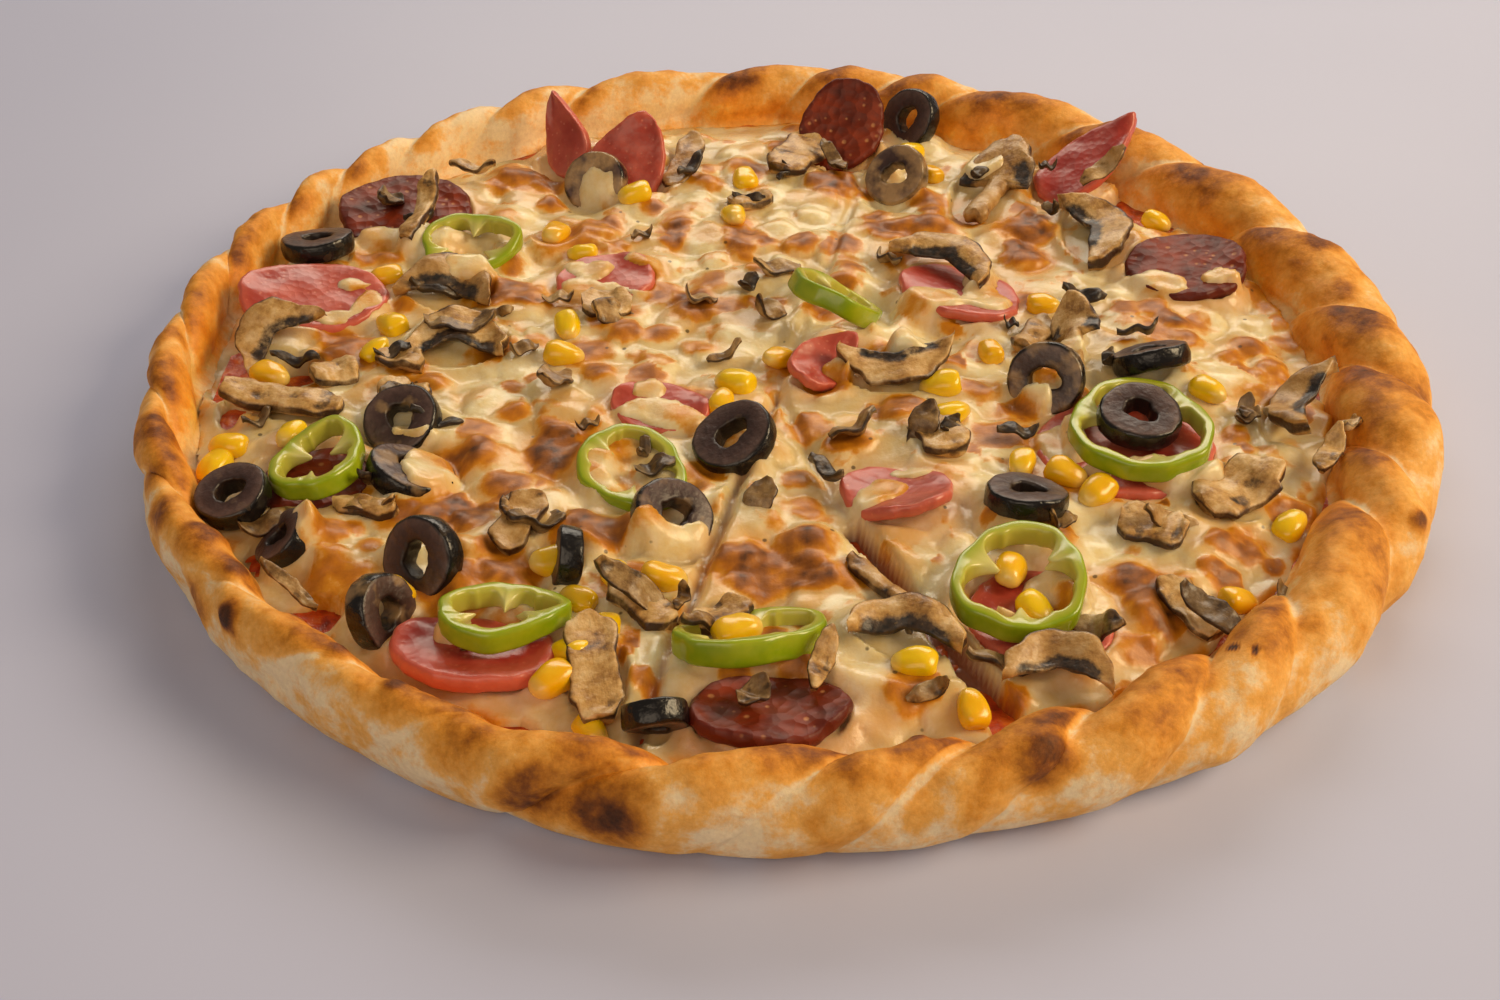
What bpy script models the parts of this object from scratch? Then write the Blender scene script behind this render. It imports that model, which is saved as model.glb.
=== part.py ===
# A pan pizza with a folded, rope-like rim, modelled at real size. The dough is one solid. Melted
# cheese lies on it with sweet corn and small mushroom pieces fused to it, and the olive rings,
# pepper rings, meat slices and larger mushrooms are solids of their own, set in pockets of the cheese.
# Lengths are millimetres and angles are degrees, until a finished mesh is scaled to metres.
import math

import bmesh
import bpy
from mathutils import Matrix, Vector, noise
from mathutils.geometry import delaunay_2d_cdt

for old in list(bpy.data.objects):
    bpy.data.objects.remove(old, do_unlink=True)

MM = 0.001
GAP = 0.35                 # clearance between touching pieces

CRUST_RADIUS = 150.0       # a 300 mm pizza
BASE_THICKNESS = 7.0
RIM_HEIGHT = 21.4
RIM_BACK_RISE = 0.9        # the rim stands higher at the back
RIM_HALF_WIDTH = 7.9
RIM_RIGHT_SWELL = 2.9      # the rim is wider on the right
RIM_WIDEST_AT = 10.0
RIM_FOOT = 3.0             # from the rim's inner wall down to the base
TWIST = 0.062              # a crease turns by this much for each degree round the rim's roll
TWIST_FROM = 80.0
FOLD_LEAN = 1.35
FOLD_ROUNDNESS = 0.7
FOLD_MEAN = 0.62
STEPS_IN_A_FOLD = (0.0, 0.14, 0.4, 0.66, 0.88)
RIM_ROLL = (-62, -25, 12, 46, 76, 106, 140, 180)
RIM_UNEVEN = 1.3           # how far the rim wanders in and out
RIM_HEIGHT_UNEVEN = 0.5
FOLD_AT_FOOT = 0.3         # share of a fold's depth that is left at the foot of the outer side
UNDER_INSET = 3.4          # from the rim's lowest ring in to the flat underside
LOWEST_ROLL_LIFT = 0.4

# Creases of the rim, seen from above: angle and depth. The first is where the dough's ends meet.
RIM_FOLDS = (
    (-103, 5.6), (-89, 2.6), (-80, 2.8), (-70, 3.0), (-58, 3.4), (-47, 3.2), (-31, 3.6), (-22, 4.0),
    (-8, 4.4), (3, 2.6), (20, 4.0), (38, 3.4), (50, 2.8), (66, 3.2), (75, 2.6), (84, 2.8), (96, 3.0),
    (113, 3.2), (124, 3.0), (135, 3.0), (145, 2.8), (154, 3.0), (165, 3.0), (177, 3.0), (190, 2.4),
    (203, 2.8), (219, 1.8), (232, 1.3), (244, 1.3))

CHEESE_LEVEL = 13.4
CHEESE_EDGE_LEVEL = 10.2
CHEESE_EDGE_FALL = 13.0
CHEESE_SPACING = 13.4
CHEESE_EDGE_STEPS = 60
FLAT_ENOUGH = 0.7          # faces that differ by less are joined after the cuts
CHEESE_EDGE_GAP = 1.0
CHEESE_EDGE_UNEVEN = 1.6
CHEESE_SWELLS = ((1.5, 26.0, 0.0), (0.9, 12.0, 3.0))    # height, size and layer of each

# Corn kernels: x, y, and how far the middle stands above the cheese.
KERNEL_SIZE = (4.7, 3.7, 3.0)
KERNEL_TAPER = 0.28
KERNEL_LEAN = 20.0
KERNELS = (
    (-125, -37, 1.5), (-111, -36, 1.5), (-121, -11, 1.0), (-98, -1, 1.2), (-96, 11, 1.5), (-101, 34, 1.0),
    (-53, 10, 1.5), (-53, -2, 1.0), (-15, -23, 1.5), (-12, -14, 1.5), (-2, -4, 2.0), (97, -19, 1.5),
    (37, -27, 1.5), (49, 0, 1.0), (36, -14, 1.0), (51, -46, 2.0), (60, -50, 1.5), (106, -64, 1.0),
    (-79, -90, 1.5), (-49, -78, 0.5), (-36, -83, 1.2), (-26, -85, 1.5), (-37, -100, 1.5), (-43, -107, 1.0),
    (-46, -115, 1.5), (-38, -125, 1.0), (-11, -103, 3.0), (33, -121, 1.5), (23, -110, 0.8), (44, -84, 2.0),
    (101, 67, 1.5), (37, 102, 1.5), (42, 91, 1.0), (-40, 76, 1.5), (-13, 66, 0.8), (64, 20, 0.8),
    (-127, -42, 0.6), (-43, -90, 0.8), (66, -56, 0.6), (48, -94, 0.8), (90, -88, 1.0), (-10, 88, 0.4),
    (-52, 46, 0.6), (-60, 57, 0.6))

# Small mushroom pieces in the cheese: x, y, length, width and turn.
BIT_THICKNESS = 4.0
BIT_BEND = 0.6
BIT_RISE = 0.8
BIT_LEAN = 8.0
MUSHROOM_BITS = (
    (-106, -10, 11, 10, 30), (-91, -6, 11, 8, -20), (-90, -62, 14, 6, -15), (-57, -68, 17, 9, 70),
    (-30, -92, 17, 9, -45), (-14, -97, 12, 8, 35), (76, -68, 14, 11, -25), (79, -92, 16, 9, -60),
    (18, -87, 23, 5, -57), (34, -36, 14, 12, -70), (-27, 96, 24, 8, 75), (5, 100, 22, 14, 60),
    (-8, 74, 12, 8, 20), (-88, -19, 13, 9, -35), (-44, 19, 12, 11, 0), (60, 6, 16, 8, 60))

# Cuts left by a pizza wheel: the two ends, the width at the first end and the width at the other.
OPEN_CUT = ((45.0, -132.0), (13.0, -66.0), 6.0, 1.4)
CLOSED_CUT = ((-33.0, -140.0), (-2.0, -16.0), 2.2, 1.0)
CUT_TOP = 30.0
CUT_DEPTH_IN_BASE = 2.0
CUT_NARROWING = 0.4        # width at the bottom of a cut as a share of its width at the top

OLIVE_THICKNESS = 5.6
OLIVE_HOLE = 0.38          # of the ring's radius
OLIVE_ROUNDING = 0.9
OLIVE_STEPS = 10
# x, y, height of the middle, radius, lean and the direction it leans to.
OLIVES = (
    (-120, 45, 17.4, 8.8, 14, 110), (-118, -60.5, 16.8, 7.6, 18, 235), (-12, -40, 17.0, 9.0, 28, 215),
    (-25, -66, 15.4, 8.4, 34, 320), (-75, -81, 16.6, 8.6, 60, 235), (-81, -97, 16.0, 7.6, 70, 335),
    (78, -35, 19.2, 8.8, 10, 275), (85, -10, 18.6, 8.6, 30, 115), (60, -16, 16.6, 8.6, 60, 245),
    (50, -61, 16.6, 8.4, 16, 70), (38, 116, 18.4, 8.4, 64, 225), (-26, -125, 15.0, 6.0, 55, 95),
    (-51, 84, 14.8, 8.4, 52, 250), (-87, -30, 14.6, 8.4, 34, 250), (-82.5, -49, 13.8, 9.2, 24, 25),
    (-46, -79, 14.8, 6.4, 74, 185), (32, 85, 16.2, 8.4, 46, 232), (-105, -72, 13.8, 6.6, 40, 190))

POCKET_SIDES = 8
POCKET_ROOM = 1.06         # a pocket allows for a slice's uneven edge
MUSHROOM_ROOM = 0.5        # and is this much larger all round for a mushroom

PEPPER_WALL = 3.0
PEPPER_RIB = 2.6
PEPPER_STEPS = 20
# x, y, height of the middle, length, width, thickness, turn, lean and the direction it leans to.
PEPPERS = (
    (-102, -49, 17.6, 24, 20, 4.8, 80, 8, 190), (-57, -99, 17.0, 25, 20, 4.8, 15, 12, 80),
    (45, -90, 18.0, 31, 27, 5.0, 75, 4, 250), (78, -37, 17.6, 36, 32, 4.8, 85, 3, 90),
    (13, 17, 18.0, 27, 23, 5.2, 50, 36, 35), (-9, -104, 15.6, 30, 20, 5.6, 18, 24, 95),
    (-81, 47, 16.0, 25, 22, 5.0, 10, 16, 265), (-34, -48.4, 14.0, 27, 23, 4.6, -50, 8, 300))

MEAT_STEPS = 12
# x, y, height of the middle, length, width, thickness, bend, turn, lean and its direction.
SALAMI = (
    (-117, 21, 15.6, 37, 26, 3.0, 2.0, 5, 12, 320), (-62, -106, 12.8, 32, 23, 3.6, 1.2, -14, 10, 75),
    (49, -95, 12.0, 30, 30, 2.8, 0.2, 0, 2, 90), (75, -38, 12.0, 39, 38, 2.8, 0.3, 0, 2, 120),
    (9, -6, 14.6, 23, 15, 3.0, 2.5, 55, 26, 320), (44, 26, 13.8, 32, 27, 2.8, 0.8, -50, 8, 50),
    (-61, 105, 19.0, 26, 17, 2.8, 2.0, 88, 58, 232), (-42, 93, 17.6, 27, 25, 2.8, 1.0, 66, 46, 262),
    (85, 88, 19.8, 37, 21, 2.8, 1.0, 34, 26, 216), (23, -58, 14.8, 25, 21, 2.8, 2.2, -40, 14, 120),
    (-45, 33, 13.4, 25, 22, 2.8, 1.0, 0, 8, 250), (-29, -24, 13.2, 24, 17, 2.8, 1.4, -20, 8, 270))
SAUSAGE = (
    (-101, 66, 14.8, 36, 33, 3.2, 1.0, 20, 8, 300), (103, 38, 14.4, 31, 30, 3.4, 1.2, 0, 6, 200),
    (-5, -122, 12.8, 31, 21, 3.4, 1.4, 2, 10, 90), (18, 112, 18.2, 28, 24, 3.2, 1.2, 75, 46, 258),
    (-103, -50, 11.8, 25, 24, 3.0, 0.2, 0, 2, 90))
# How far the end of a slice is drawn in to a point.
POINTED = {"salami_05": 0.5, "salami_07": 0.85, "salami_08": 0.5, "salami_09": 0.65}

# kind, x, y, height of the middle, length, width, thickness, bend, turn, lean and its direction.
MUSHROOMS = (
    ("stem", -116, -23, 15.4, 29, 9, 4.6, 1.0, -14, 4, 270),
    ("cap", -123, 1.5, 18.4, 22, 14, 3.6, 1.0, 50, 30, 270),
    ("cap", -79, 4, 15.0, 25, 17, 3.6, 2.0, 0, 10, 270),
    ("cap", -84, 28, 16.4, 24, 16, 4.2, 2.0, -10, 16, 280),
    ("stem", -95, 60, 18.6, 26, 6, 4.0, 1.5, 80, 20, 200),
    ("whole", 59, 80, 16.6, 38, 20, 4.2, 2.0, 66, 14, 200),
    ("cap", 83, 54, 16.6, 30, 16, 4.0, 1.6, -82, 14, 200),
    ("cap", 42, 37, 18.6, 27, 14, 3.8, 1.0, -38, 12, 240),
    ("cap", 26, -9, 16.4, 27, 13, 4.0, 1.6, 186, 22, 270),
    ("whole", 69, 2, 17.4, 25, 14, 3.6, 1.0, 80, 34, 190),
    ("cap", 116, -27, 16.4, 26, 13, 4.0, 2.0, 62, 26, 150),
    ("stem", 96, -56, 14.8, 20, 14, 3.6, 1.6, 34, 8, 240),
    ("cap", 50, -112, 16.4, 21, 13, 4.0, 1.4, -8, 14, 260),
    ("cap", 22, -101.4, 17.2, 23, 12, 3.8, 1.8, -12, 16, 260),
    ("stem", -38, -112, 14.6, 26, 11, 3.8, 1.0, 98, 8, 250))


def material(name, colour, roughness):
    """A plain finish in the piece's main colour, given as sRGB from 0 to 255."""
    made = bpy.data.materials.new(name)
    made.use_nodes = True
    shader = made.node_tree.nodes["Principled BSDF"]
    linear = [(value / 255.0) ** 2.2 for value in colour]
    shader.inputs["Base Color"].default_value = (*linear, 1.0)
    shader.inputs["Roughness"].default_value = roughness
    shader.inputs["Metallic"].default_value = 0.0
    return made


def turned_and_leaned(turn, lean, toward):
    """A turn about the upright, then a lean of the upper face toward a direction."""
    facing = Matrix.Rotation(math.radians(toward), 4, "Z")
    tip = Matrix.Rotation(math.radians(lean), 4, "Y")
    return facing @ tip @ facing.inverted() @ Matrix.Rotation(math.radians(turn), 4, "Z")


def add_object(name, bm, finish, place=(0.0, 0.0, 0.0), attitude=Matrix.Identity(4), smooth=True):
    """Closes off a mesh made in millimetres and places it as an object in metres."""
    bmesh.ops.recalc_face_normals(bm, faces=bm.faces)
    if bm.calc_volume(signed=True) < 0.0:
        bmesh.ops.reverse_faces(bm, faces=bm.faces)
    bmesh.ops.scale(bm, vec=(MM, MM, MM), verts=bm.verts)
    mesh = bpy.data.meshes.new(name)
    bm.to_mesh(mesh)
    bm.free()
    if finish:
        mesh.materials.append(finish)
    if smooth:
        mesh.shade_smooth()
        mesh.set_sharp_from_angle(angle=math.radians(40))
    made = bpy.data.objects.new(name, mesh)
    bpy.context.scene.collection.objects.link(made)
    made.location = Vector(place) * MM
    made.rotation_euler = attitude.to_euler()
    return made


def eased(share):
    share = min(1.0, max(0.0, share))
    return share * share * (3.0 - 2.0 * share)


def wavy(x, y, size, layer=0.0):
    return noise.noise(Vector((x / size, y / size, layer)))


def rim_half_width(angle):
    return RIM_HALF_WIDTH + RIM_RIGHT_SWELL * math.cos(math.radians(angle - RIM_WIDEST_AT))


def fold_at(column):
    """Where an angle lies between two creases, from 0 to 1, and how deep they are there."""
    first = RIM_FOLDS[0][0]
    column = (column - first) % 360.0 + first
    ends = RIM_FOLDS[1:] + ((first + 360.0, RIM_FOLDS[0][1]),)
    for (start, depth), (end, next_depth) in zip(RIM_FOLDS, ends):
        if column < end:
            share = (column - start) / (end - start)
            return share, depth + (next_depth - depth) * share
    return 1.0, RIM_FOLDS[0][1]


def rim_point(column, roll):
    """A point of the rim. The roll is 0 outward, 90 on top and 180 at the inner wall."""
    share, depth = fold_at(column)
    bulge = math.sin(math.pi * share ** FOLD_LEAN) ** FOLD_ROUNDNESS if share < 1.0 else 0.0
    fading = FOLD_AT_FOOT + (1.0 - FOLD_AT_FOOT) * eased((roll + 60.0) / 90.0)
    swell = depth * (bulge - FOLD_MEAN) * fading
    angle = column + TWIST * (roll - TWIST_FROM)
    around = Vector((math.cos(math.radians(angle)), math.sin(math.radians(angle)), 0.0))
    uneven = RIM_UNEVEN * noise.noise(around * 2.2)
    half_width = rim_half_width(angle)
    half_height = 0.5 * (RIM_HEIGHT + RIM_BACK_RISE * around.y)
    half_height += RIM_HEIGHT_UNEVEN * noise.noise(around * 3.1)
    radius = CRUST_RADIUS - half_width + uneven + (half_width + swell) * math.cos(math.radians(roll))
    height = half_height + (half_height + swell) * math.sin(math.radians(roll))
    return around * radius + Vector((0.0, 0.0, max(LOWEST_ROLL_LIFT, height)))


def make_crust(finish):
    """The dough: a flat base and a rim rolled inward in overlapping folds, all one solid."""
    columns = []
    ends = RIM_FOLDS[1:] + ((RIM_FOLDS[0][0] + 360.0, 0.0),)
    for (start, _), (end, _) in zip(RIM_FOLDS, ends):
        columns += [start + (end - start) * share for share in STEPS_IN_A_FOLD]
    bm = bmesh.new()
    rings = [[] for _ in range(len(RIM_ROLL) + 2)]
    for column in columns:
        low = rim_point(column, RIM_ROLL[0])
        around = Vector((low.x, low.y, 0.0)).normalized()
        under = around * (Vector((low.x, low.y, 0.0)).length - UNDER_INSET)
        rings[0].append(bm.verts.new(under))
        for ring, roll in enumerate(RIM_ROLL, start=1):
            rings[ring].append(bm.verts.new(rim_point(column, roll)))
        inner = column + TWIST * (180.0 - TWIST_FROM)
        foot = CRUST_RADIUS - 2.0 * rim_half_width(inner) - RIM_FOOT
        way = Vector((math.cos(math.radians(inner)), math.sin(math.radians(inner)), 0.0))
        rings[-1].append(bm.verts.new(way * foot + Vector((0.0, 0.0, BASE_THICKNESS))))
    count = len(columns)
    for lower, upper in zip(rings, rings[1:]):
        for step in range(count):
            following = (step + 1) % count
            bm.faces.new((lower[step], lower[following], upper[following], upper[step]))
    bm.faces.new(rings[-1])
    bm.faces.new(list(reversed(rings[0])))
    return add_object("crust", bm, finish)


def cheese_edge(angle):
    """How far out the cheese reaches: close to the foot of the rim, in an uneven line."""
    around = Vector((math.cos(math.radians(angle)), math.sin(math.radians(angle)), 0.0))
    margin = RIM_FOOT + CHEESE_EDGE_GAP + CHEESE_EDGE_UNEVEN * abs(noise.noise(around * 4.0))
    return CRUST_RADIUS - 2.0 * rim_half_width(angle) - margin


def cheese_top(x, y):
    """Height of the melted cheese: slow swells over what lies below, falling toward the rim."""
    edge = cheese_edge(math.degrees(math.atan2(y, x)))
    fall = eased((math.hypot(x, y) - edge + CHEESE_EDGE_FALL) / CHEESE_EDGE_FALL)
    swell = sum(height * wavy(x, y, size, layer) for height, size, layer in CHEESE_SWELLS)
    return CHEESE_LEVEL + swell * (1.0 - 0.6 * fall) - (CHEESE_LEVEL - CHEESE_EDGE_LEVEL) * fall


def make_cheese(finish):
    """A thin sheet of cheese on the base, its upper side in triangles."""
    outline = []
    for step in range(CHEESE_EDGE_STEPS):
        angle = 360.0 * step / CHEESE_EDGE_STEPS
        way = Vector((math.cos(math.radians(angle)), math.sin(math.radians(angle))))
        outline.append(way * cheese_edge(angle))
    points = list(outline)
    row_height = CHEESE_SPACING * math.sqrt(0.75)
    rows = int(CRUST_RADIUS / row_height)
    for row in range(-rows, rows + 1):
        for place in range(-rows, rows + 1):
            point = Vector(((place + 0.5 * (row % 2)) * CHEESE_SPACING, row * row_height))
            edge = cheese_edge(math.degrees(math.atan2(point.y, point.x)))
            if point.length < edge - 0.5 * CHEESE_SPACING:
                points.append(point)
    loop = list(range(CHEESE_EDGE_STEPS))
    flat, _, faces, *_ = delaunay_2d_cdt(points, [], [loop], 1, 0.001)
    bm = bmesh.new()
    verts = [bm.verts.new((point.x, point.y, cheese_top(point.x, point.y))) for point in flat]
    for face in faces:
        bm.faces.new([verts[index] for index in face])
    rim = [edge for edge in bm.edges if edge.is_boundary]
    made = bmesh.ops.extrude_edge_only(bm, edges=rim)["geom"]
    for vert in made:
        if isinstance(vert, bmesh.types.BMVert):
            vert.co.z = BASE_THICKNESS + GAP
    bmesh.ops.contextual_create(bm, geom=[edge for edge in bm.edges if edge.is_boundary])
    return add_object("cheese", bm, finish)


def spun(profile, steps, closed):
    """A turned solid. A closed profile makes a ring, and an open one ends on the axis."""
    bm = bmesh.new()
    verts = [bm.verts.new((radius, 0.0, height)) for radius, height in profile]
    edges = [bm.edges.new(pair) for pair in zip(verts, verts[1:])]
    if closed:
        edges.append(bm.edges.new((verts[-1], verts[0])))
    bmesh.ops.spin(bm, geom=verts + edges, cent=(0, 0, 0), axis=(0, 0, 1), angle=2.0 * math.pi,
                   steps=steps, use_merge=True)
    bmesh.ops.remove_doubles(bm, verts=bm.verts, dist=0.001)
    return bm


def olive_ring(radius):
    """A sliced olive: a thick ring with a round skin."""
    half = 0.5 * OLIVE_THICKNESS
    hole = OLIVE_HOLE * radius
    shoulder = radius - OLIVE_ROUNDING
    profile = ((hole, -half), (shoulder, -half), (radius, 0.0), (shoulder, half), (hole, half))
    return spun(profile, OLIVE_STEPS, closed=True)


def pepper_ring(length, width, thickness):
    """A slice across a green pepper: a lobed wall with three ribs on its inner side."""
    half = 0.5 * thickness
    profile = ((0.5, -half), (1.0, -half), (1.0, half), (0.5, half))
    bm = spun(profile, PEPPER_STEPS, closed=True)
    for vert in bm.verts:
        angle = math.atan2(vert.co.y, vert.co.x)
        lobes = 1.0 + 0.05 * math.cos(3.0 * angle) + 0.03 * math.cos(2.0 * angle + 0.7)
        rib = PEPPER_RIB * max(0.0, math.cos(3.0 * angle + 2.4)) ** 3
        way = Vector((math.cos(angle) * 0.5 * length, math.sin(angle) * 0.5 * width))
        reach = way.length * lobes
        if math.hypot(vert.co.x, vert.co.y) < 0.75:
            reach -= PEPPER_WALL + rib
        vert.co.x = way.x / way.length * reach
        vert.co.y = way.y / way.length * reach
    return bm


def meat_slice(length, width, thickness, bend, point):
    """A round slice, a little uneven and curled up at two sides by the oven. One end may be a point."""
    half = 0.5 * thickness
    profile = ((0.0, -half), (1.0, -0.8 * half), (1.0, 0.8 * half), (0.6, half), (0.0, half))
    bm = spun(profile, MEAT_STEPS, closed=False)
    for vert in bm.verts:
        across = vert.co.x
        angle = math.atan2(vert.co.y, vert.co.x)
        uneven = 1.0 + 0.03 * math.sin(2.0 * angle + length) + 0.02 * math.sin(5.0 * angle + width)
        vert.co.x *= 0.5 * length * uneven
        vert.co.y *= 0.5 * width * uneven * (1.0 - point * max(0.0, 0.5 + 0.5 * across) ** 2)
        vert.co.z += bend * across * across
    return bm


def mushroom_outline(kind, length, width):
    """The edge of a mushroom slice: a whole one, its cap alone, or its stem alone."""
    points = []
    if kind == "whole":
        neck = 0.05 * length
        for step in range(7):
            angle = math.radians(-90.0 + 30.0 * step)
            points.append((neck + 0.45 * length * math.cos(angle), 0.5 * width * math.sin(angle)))
        half = ((neck - 0.08 * length, 0.34), (neck - 0.02 * length, 0.15), (-0.5 * length, 0.18))
        points += [(x, share * width) for x, share in half]
        points += [(x, -share * width) for x, share in reversed(half)]
    elif kind == "cap":
        for step in range(8):
            angle = math.radians(180.0 * step / 7.0)
            points.append((0.5 * length * math.cos(angle), width * (math.sin(angle) - 0.45)))
        points += [(-0.26 * length, -0.30 * width), (0.0, -0.12 * width), (0.26 * length, -0.30 * width)]
    else:
        half = ((-0.5, 0.26), (-0.34, 0.48), (0.0, 0.42), (0.34, 0.50), (0.5, 0.24))
        points += [(x * length, y * width) for x, y in half]
        points += [(x * length, -y * width) for x, y in reversed(half)]
    return points


def mushroom_slice(kind, length, width, thickness, bend):
    """A cut mushroom: its outline given a thickness, curled a little along its length."""
    bm = bmesh.new()
    verts = [bm.verts.new((x, y, -0.5 * thickness)) for x, y in mushroom_outline(kind, length, width)]
    face = bm.faces.new(verts)
    made = bmesh.ops.extrude_face_region(bm, geom=[face])["geom"]
    raised = [part for part in made if isinstance(part, bmesh.types.BMVert)]
    bmesh.ops.translate(bm, vec=(0.0, 0.0, thickness), verts=raised)
    for vert in bm.verts:
        vert.co.z += bend * (2.0 * vert.co.x / length) ** 2
    bmesh.ops.triangulate(bm, faces=[face for face in bm.faces if len(face.verts) > 4])
    return bm


def pocket_disc(length, width, thickness, bend=0.0):
    """A plain oval disc that holds a round topping, with the clearance added all round."""
    bm = bmesh.new()
    bmesh.ops.create_cone(bm, cap_ends=True, segments=POCKET_SIDES, radius1=1.0, radius2=1.0, depth=2.0)
    spread = POCKET_ROOM / math.cos(math.pi / POCKET_SIDES)
    for vert in bm.verts:
        vert.co.x *= 0.5 * length * spread + GAP
        vert.co.y *= 0.5 * width * spread + GAP
        vert.co.z = 0.5 * thickness + bend + GAP if vert.co.z > 0.0 else -0.5 * thickness - GAP
    return bm


def mushroom_pocket(kind, length, width, thickness, bend):
    """A plain convex solid that holds a mushroom slice, with room added all round."""
    grown = mushroom_outline(kind, length + 4.0 * MUSHROOM_ROOM, width + 4.0 * MUSHROOM_ROOM)
    half = 0.5 * thickness + MUSHROOM_ROOM
    bm = bmesh.new()
    for x, y in grown:
        bm.verts.new((x, y, -half))
        bm.verts.new((x, y, half + bend))
    made = bmesh.ops.convex_hull(bm, input=bm.verts)
    inside = [part for part in made["geom_interior"] if isinstance(part, bmesh.types.BMVert)]
    bmesh.ops.delete(bm, geom=inside, context="VERTS")
    return bm


def corn_kernel():
    """A kernel of sweet corn, broad at its crown and narrow at its tip."""
    bm = bmesh.new()
    bmesh.ops.create_uvsphere(bm, u_segments=5, v_segments=4, radius=1.0)
    for vert in bm.verts:
        narrowing = 1.0 - KERNEL_TAPER * vert.co.x
        vert.co.x *= KERNEL_SIZE[0]
        vert.co.y *= KERNEL_SIZE[1] * narrowing
        vert.co.z *= KERNEL_SIZE[2] * (0.5 + 0.5 * narrowing)
    return bm


def wedge_cut(ends, widths):
    """The space a pizza wheel leaves: a thin wedge, open at the top."""
    start, end = (Vector(point) for point in ends)
    side = Vector((start.y - end.y, end.x - start.x)).normalized()
    bm = bmesh.new()
    bmesh.ops.create_cube(bm, size=2.0)
    for vert in bm.verts:
        at_start = vert.co.x < 0.0
        middle = start if at_start else end
        half = 0.5 * (widths[0] if at_start else widths[1])
        if vert.co.z < 0.0:
            half *= CUT_NARROWING
        flat = middle + side * (half if vert.co.y > 0.0 else -half)
        height = CUT_TOP if vert.co.z > 0.0 else BASE_THICKNESS - CUT_DEPTH_IN_BASE
        vert.co = Vector((flat.x, flat.y, height))
    return bm


def apply_boolean(target, operation, group, solver):
    """Joins or cuts with a whole collection at once, then removes the collection's objects."""
    step = target.modifiers.new(operation.lower(), "BOOLEAN")
    step.operation = operation
    step.operand_type = "COLLECTION"
    step.collection = group
    step.solver = solver
    settled = target.evaluated_get(bpy.context.evaluated_depsgraph_get())
    mesh = bpy.data.meshes.new_from_object(settled)
    target.modifiers.clear()
    target.data = mesh
    for piece in list(group.objects):
        bpy.data.objects.remove(piece, do_unlink=True)
    bpy.data.collections.remove(group)


def drop_scraps(target):
    """Keeps the largest connected piece, without the crumbs that the cuts have freed."""
    bm = bmesh.new()
    bm.from_mesh(target.data)
    left = set(bm.verts)
    groups = []
    while left:
        group = {left.pop()}
        front = list(group)
        while front:
            vert = front.pop()
            for edge in vert.link_edges:
                other = edge.other_vert(vert)
                if other in left:
                    left.remove(other)
                    group.add(other)
                    front.append(other)
        groups.append(group)
    groups.sort(key=len)
    for group in groups[:-1]:
        bmesh.ops.delete(bm, geom=list(group), context="VERTS")
    bmesh.ops.dissolve_limit(bm, angle_limit=math.radians(FLAT_ENOUGH), verts=bm.verts, edges=bm.edges)
    bmesh.ops.triangulate(bm, faces=bm.faces)
    bm.to_mesh(target.data)
    bm.free()


def set_aside(group, name, bm, place=(0.0, 0.0, 0.0), attitude=Matrix.Identity(4)):
    """Puts a helper solid in a collection that a Boolean reads and then removes."""
    helper = add_object(name, bm, None, place, attitude, smooth=False)
    bpy.context.scene.collection.objects.unlink(helper)
    group.objects.link(helper)
    helper.hide_render = True
    helper.display_type = "WIRE"


def add_topping(name, finish, bm, pocket, place, attitude, pockets):
    """One topping, and the slightly larger solid that clears its pocket in the cheese."""
    add_object(name, bm, finish, place, attitude)
    set_aside(pockets, name + "_pocket", pocket, place, attitude)


dough = material("baked_dough", (222, 160, 92), 0.65)
melted = material("melted_cheese", (236, 212, 150), 0.4)
olive = material("black_olive", (44, 34, 38), 0.3)
pepper = material("green_pepper", (150, 170, 30), 0.3)
salami = material("pink_salami", (200, 84, 78), 0.45)
sausage = material("dark_sausage", (122, 46, 34), 0.45)
mushroom = material("baked_mushroom", (196, 158, 108), 0.7)

make_crust(dough)
cheese = make_cheese(melted)

fused = bpy.data.collections.new("fused")
pockets = bpy.data.collections.new("pockets")

for number, (x, y, rise) in enumerate(KERNELS):
    place = (x, y, cheese_top(x, y) + rise)
    attitude = turned_and_leaned(number * 77.0, KERNEL_LEAN * math.sin(number * 1.7), number * 131.0)
    set_aside(fused, f"kernel_{number}", corn_kernel(), place, attitude)
for number, (x, y, length, width, turn) in enumerate(MUSHROOM_BITS):
    place = (x, y, cheese_top(x, y) + BIT_RISE)
    attitude = turned_and_leaned(turn, BIT_LEAN, number * 97.0)
    bit = mushroom_slice("stem", length, width, BIT_THICKNESS, BIT_BEND)
    set_aside(fused, f"bit_{number}", bit, place, attitude)
for number, (x, y, z, radius, *tip) in enumerate(OLIVES, start=1):
    pocket = pocket_disc(2.0 * radius, 2.0 * radius, OLIVE_THICKNESS)
    add_topping(f"olive_ring_{number:02d}", olive, olive_ring(radius), pocket, (x, y, z),
                turned_and_leaned(0.0, *tip), pockets)
for number, (x, y, z, length, width, thick, *tip) in enumerate(PEPPERS, start=1):
    ring, pocket = pepper_ring(length, width, thick), pocket_disc(length, width, thick)
    add_topping(f"pepper_ring_{number}", pepper, ring, pocket, (x, y, z), turned_and_leaned(*tip), pockets)
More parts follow.
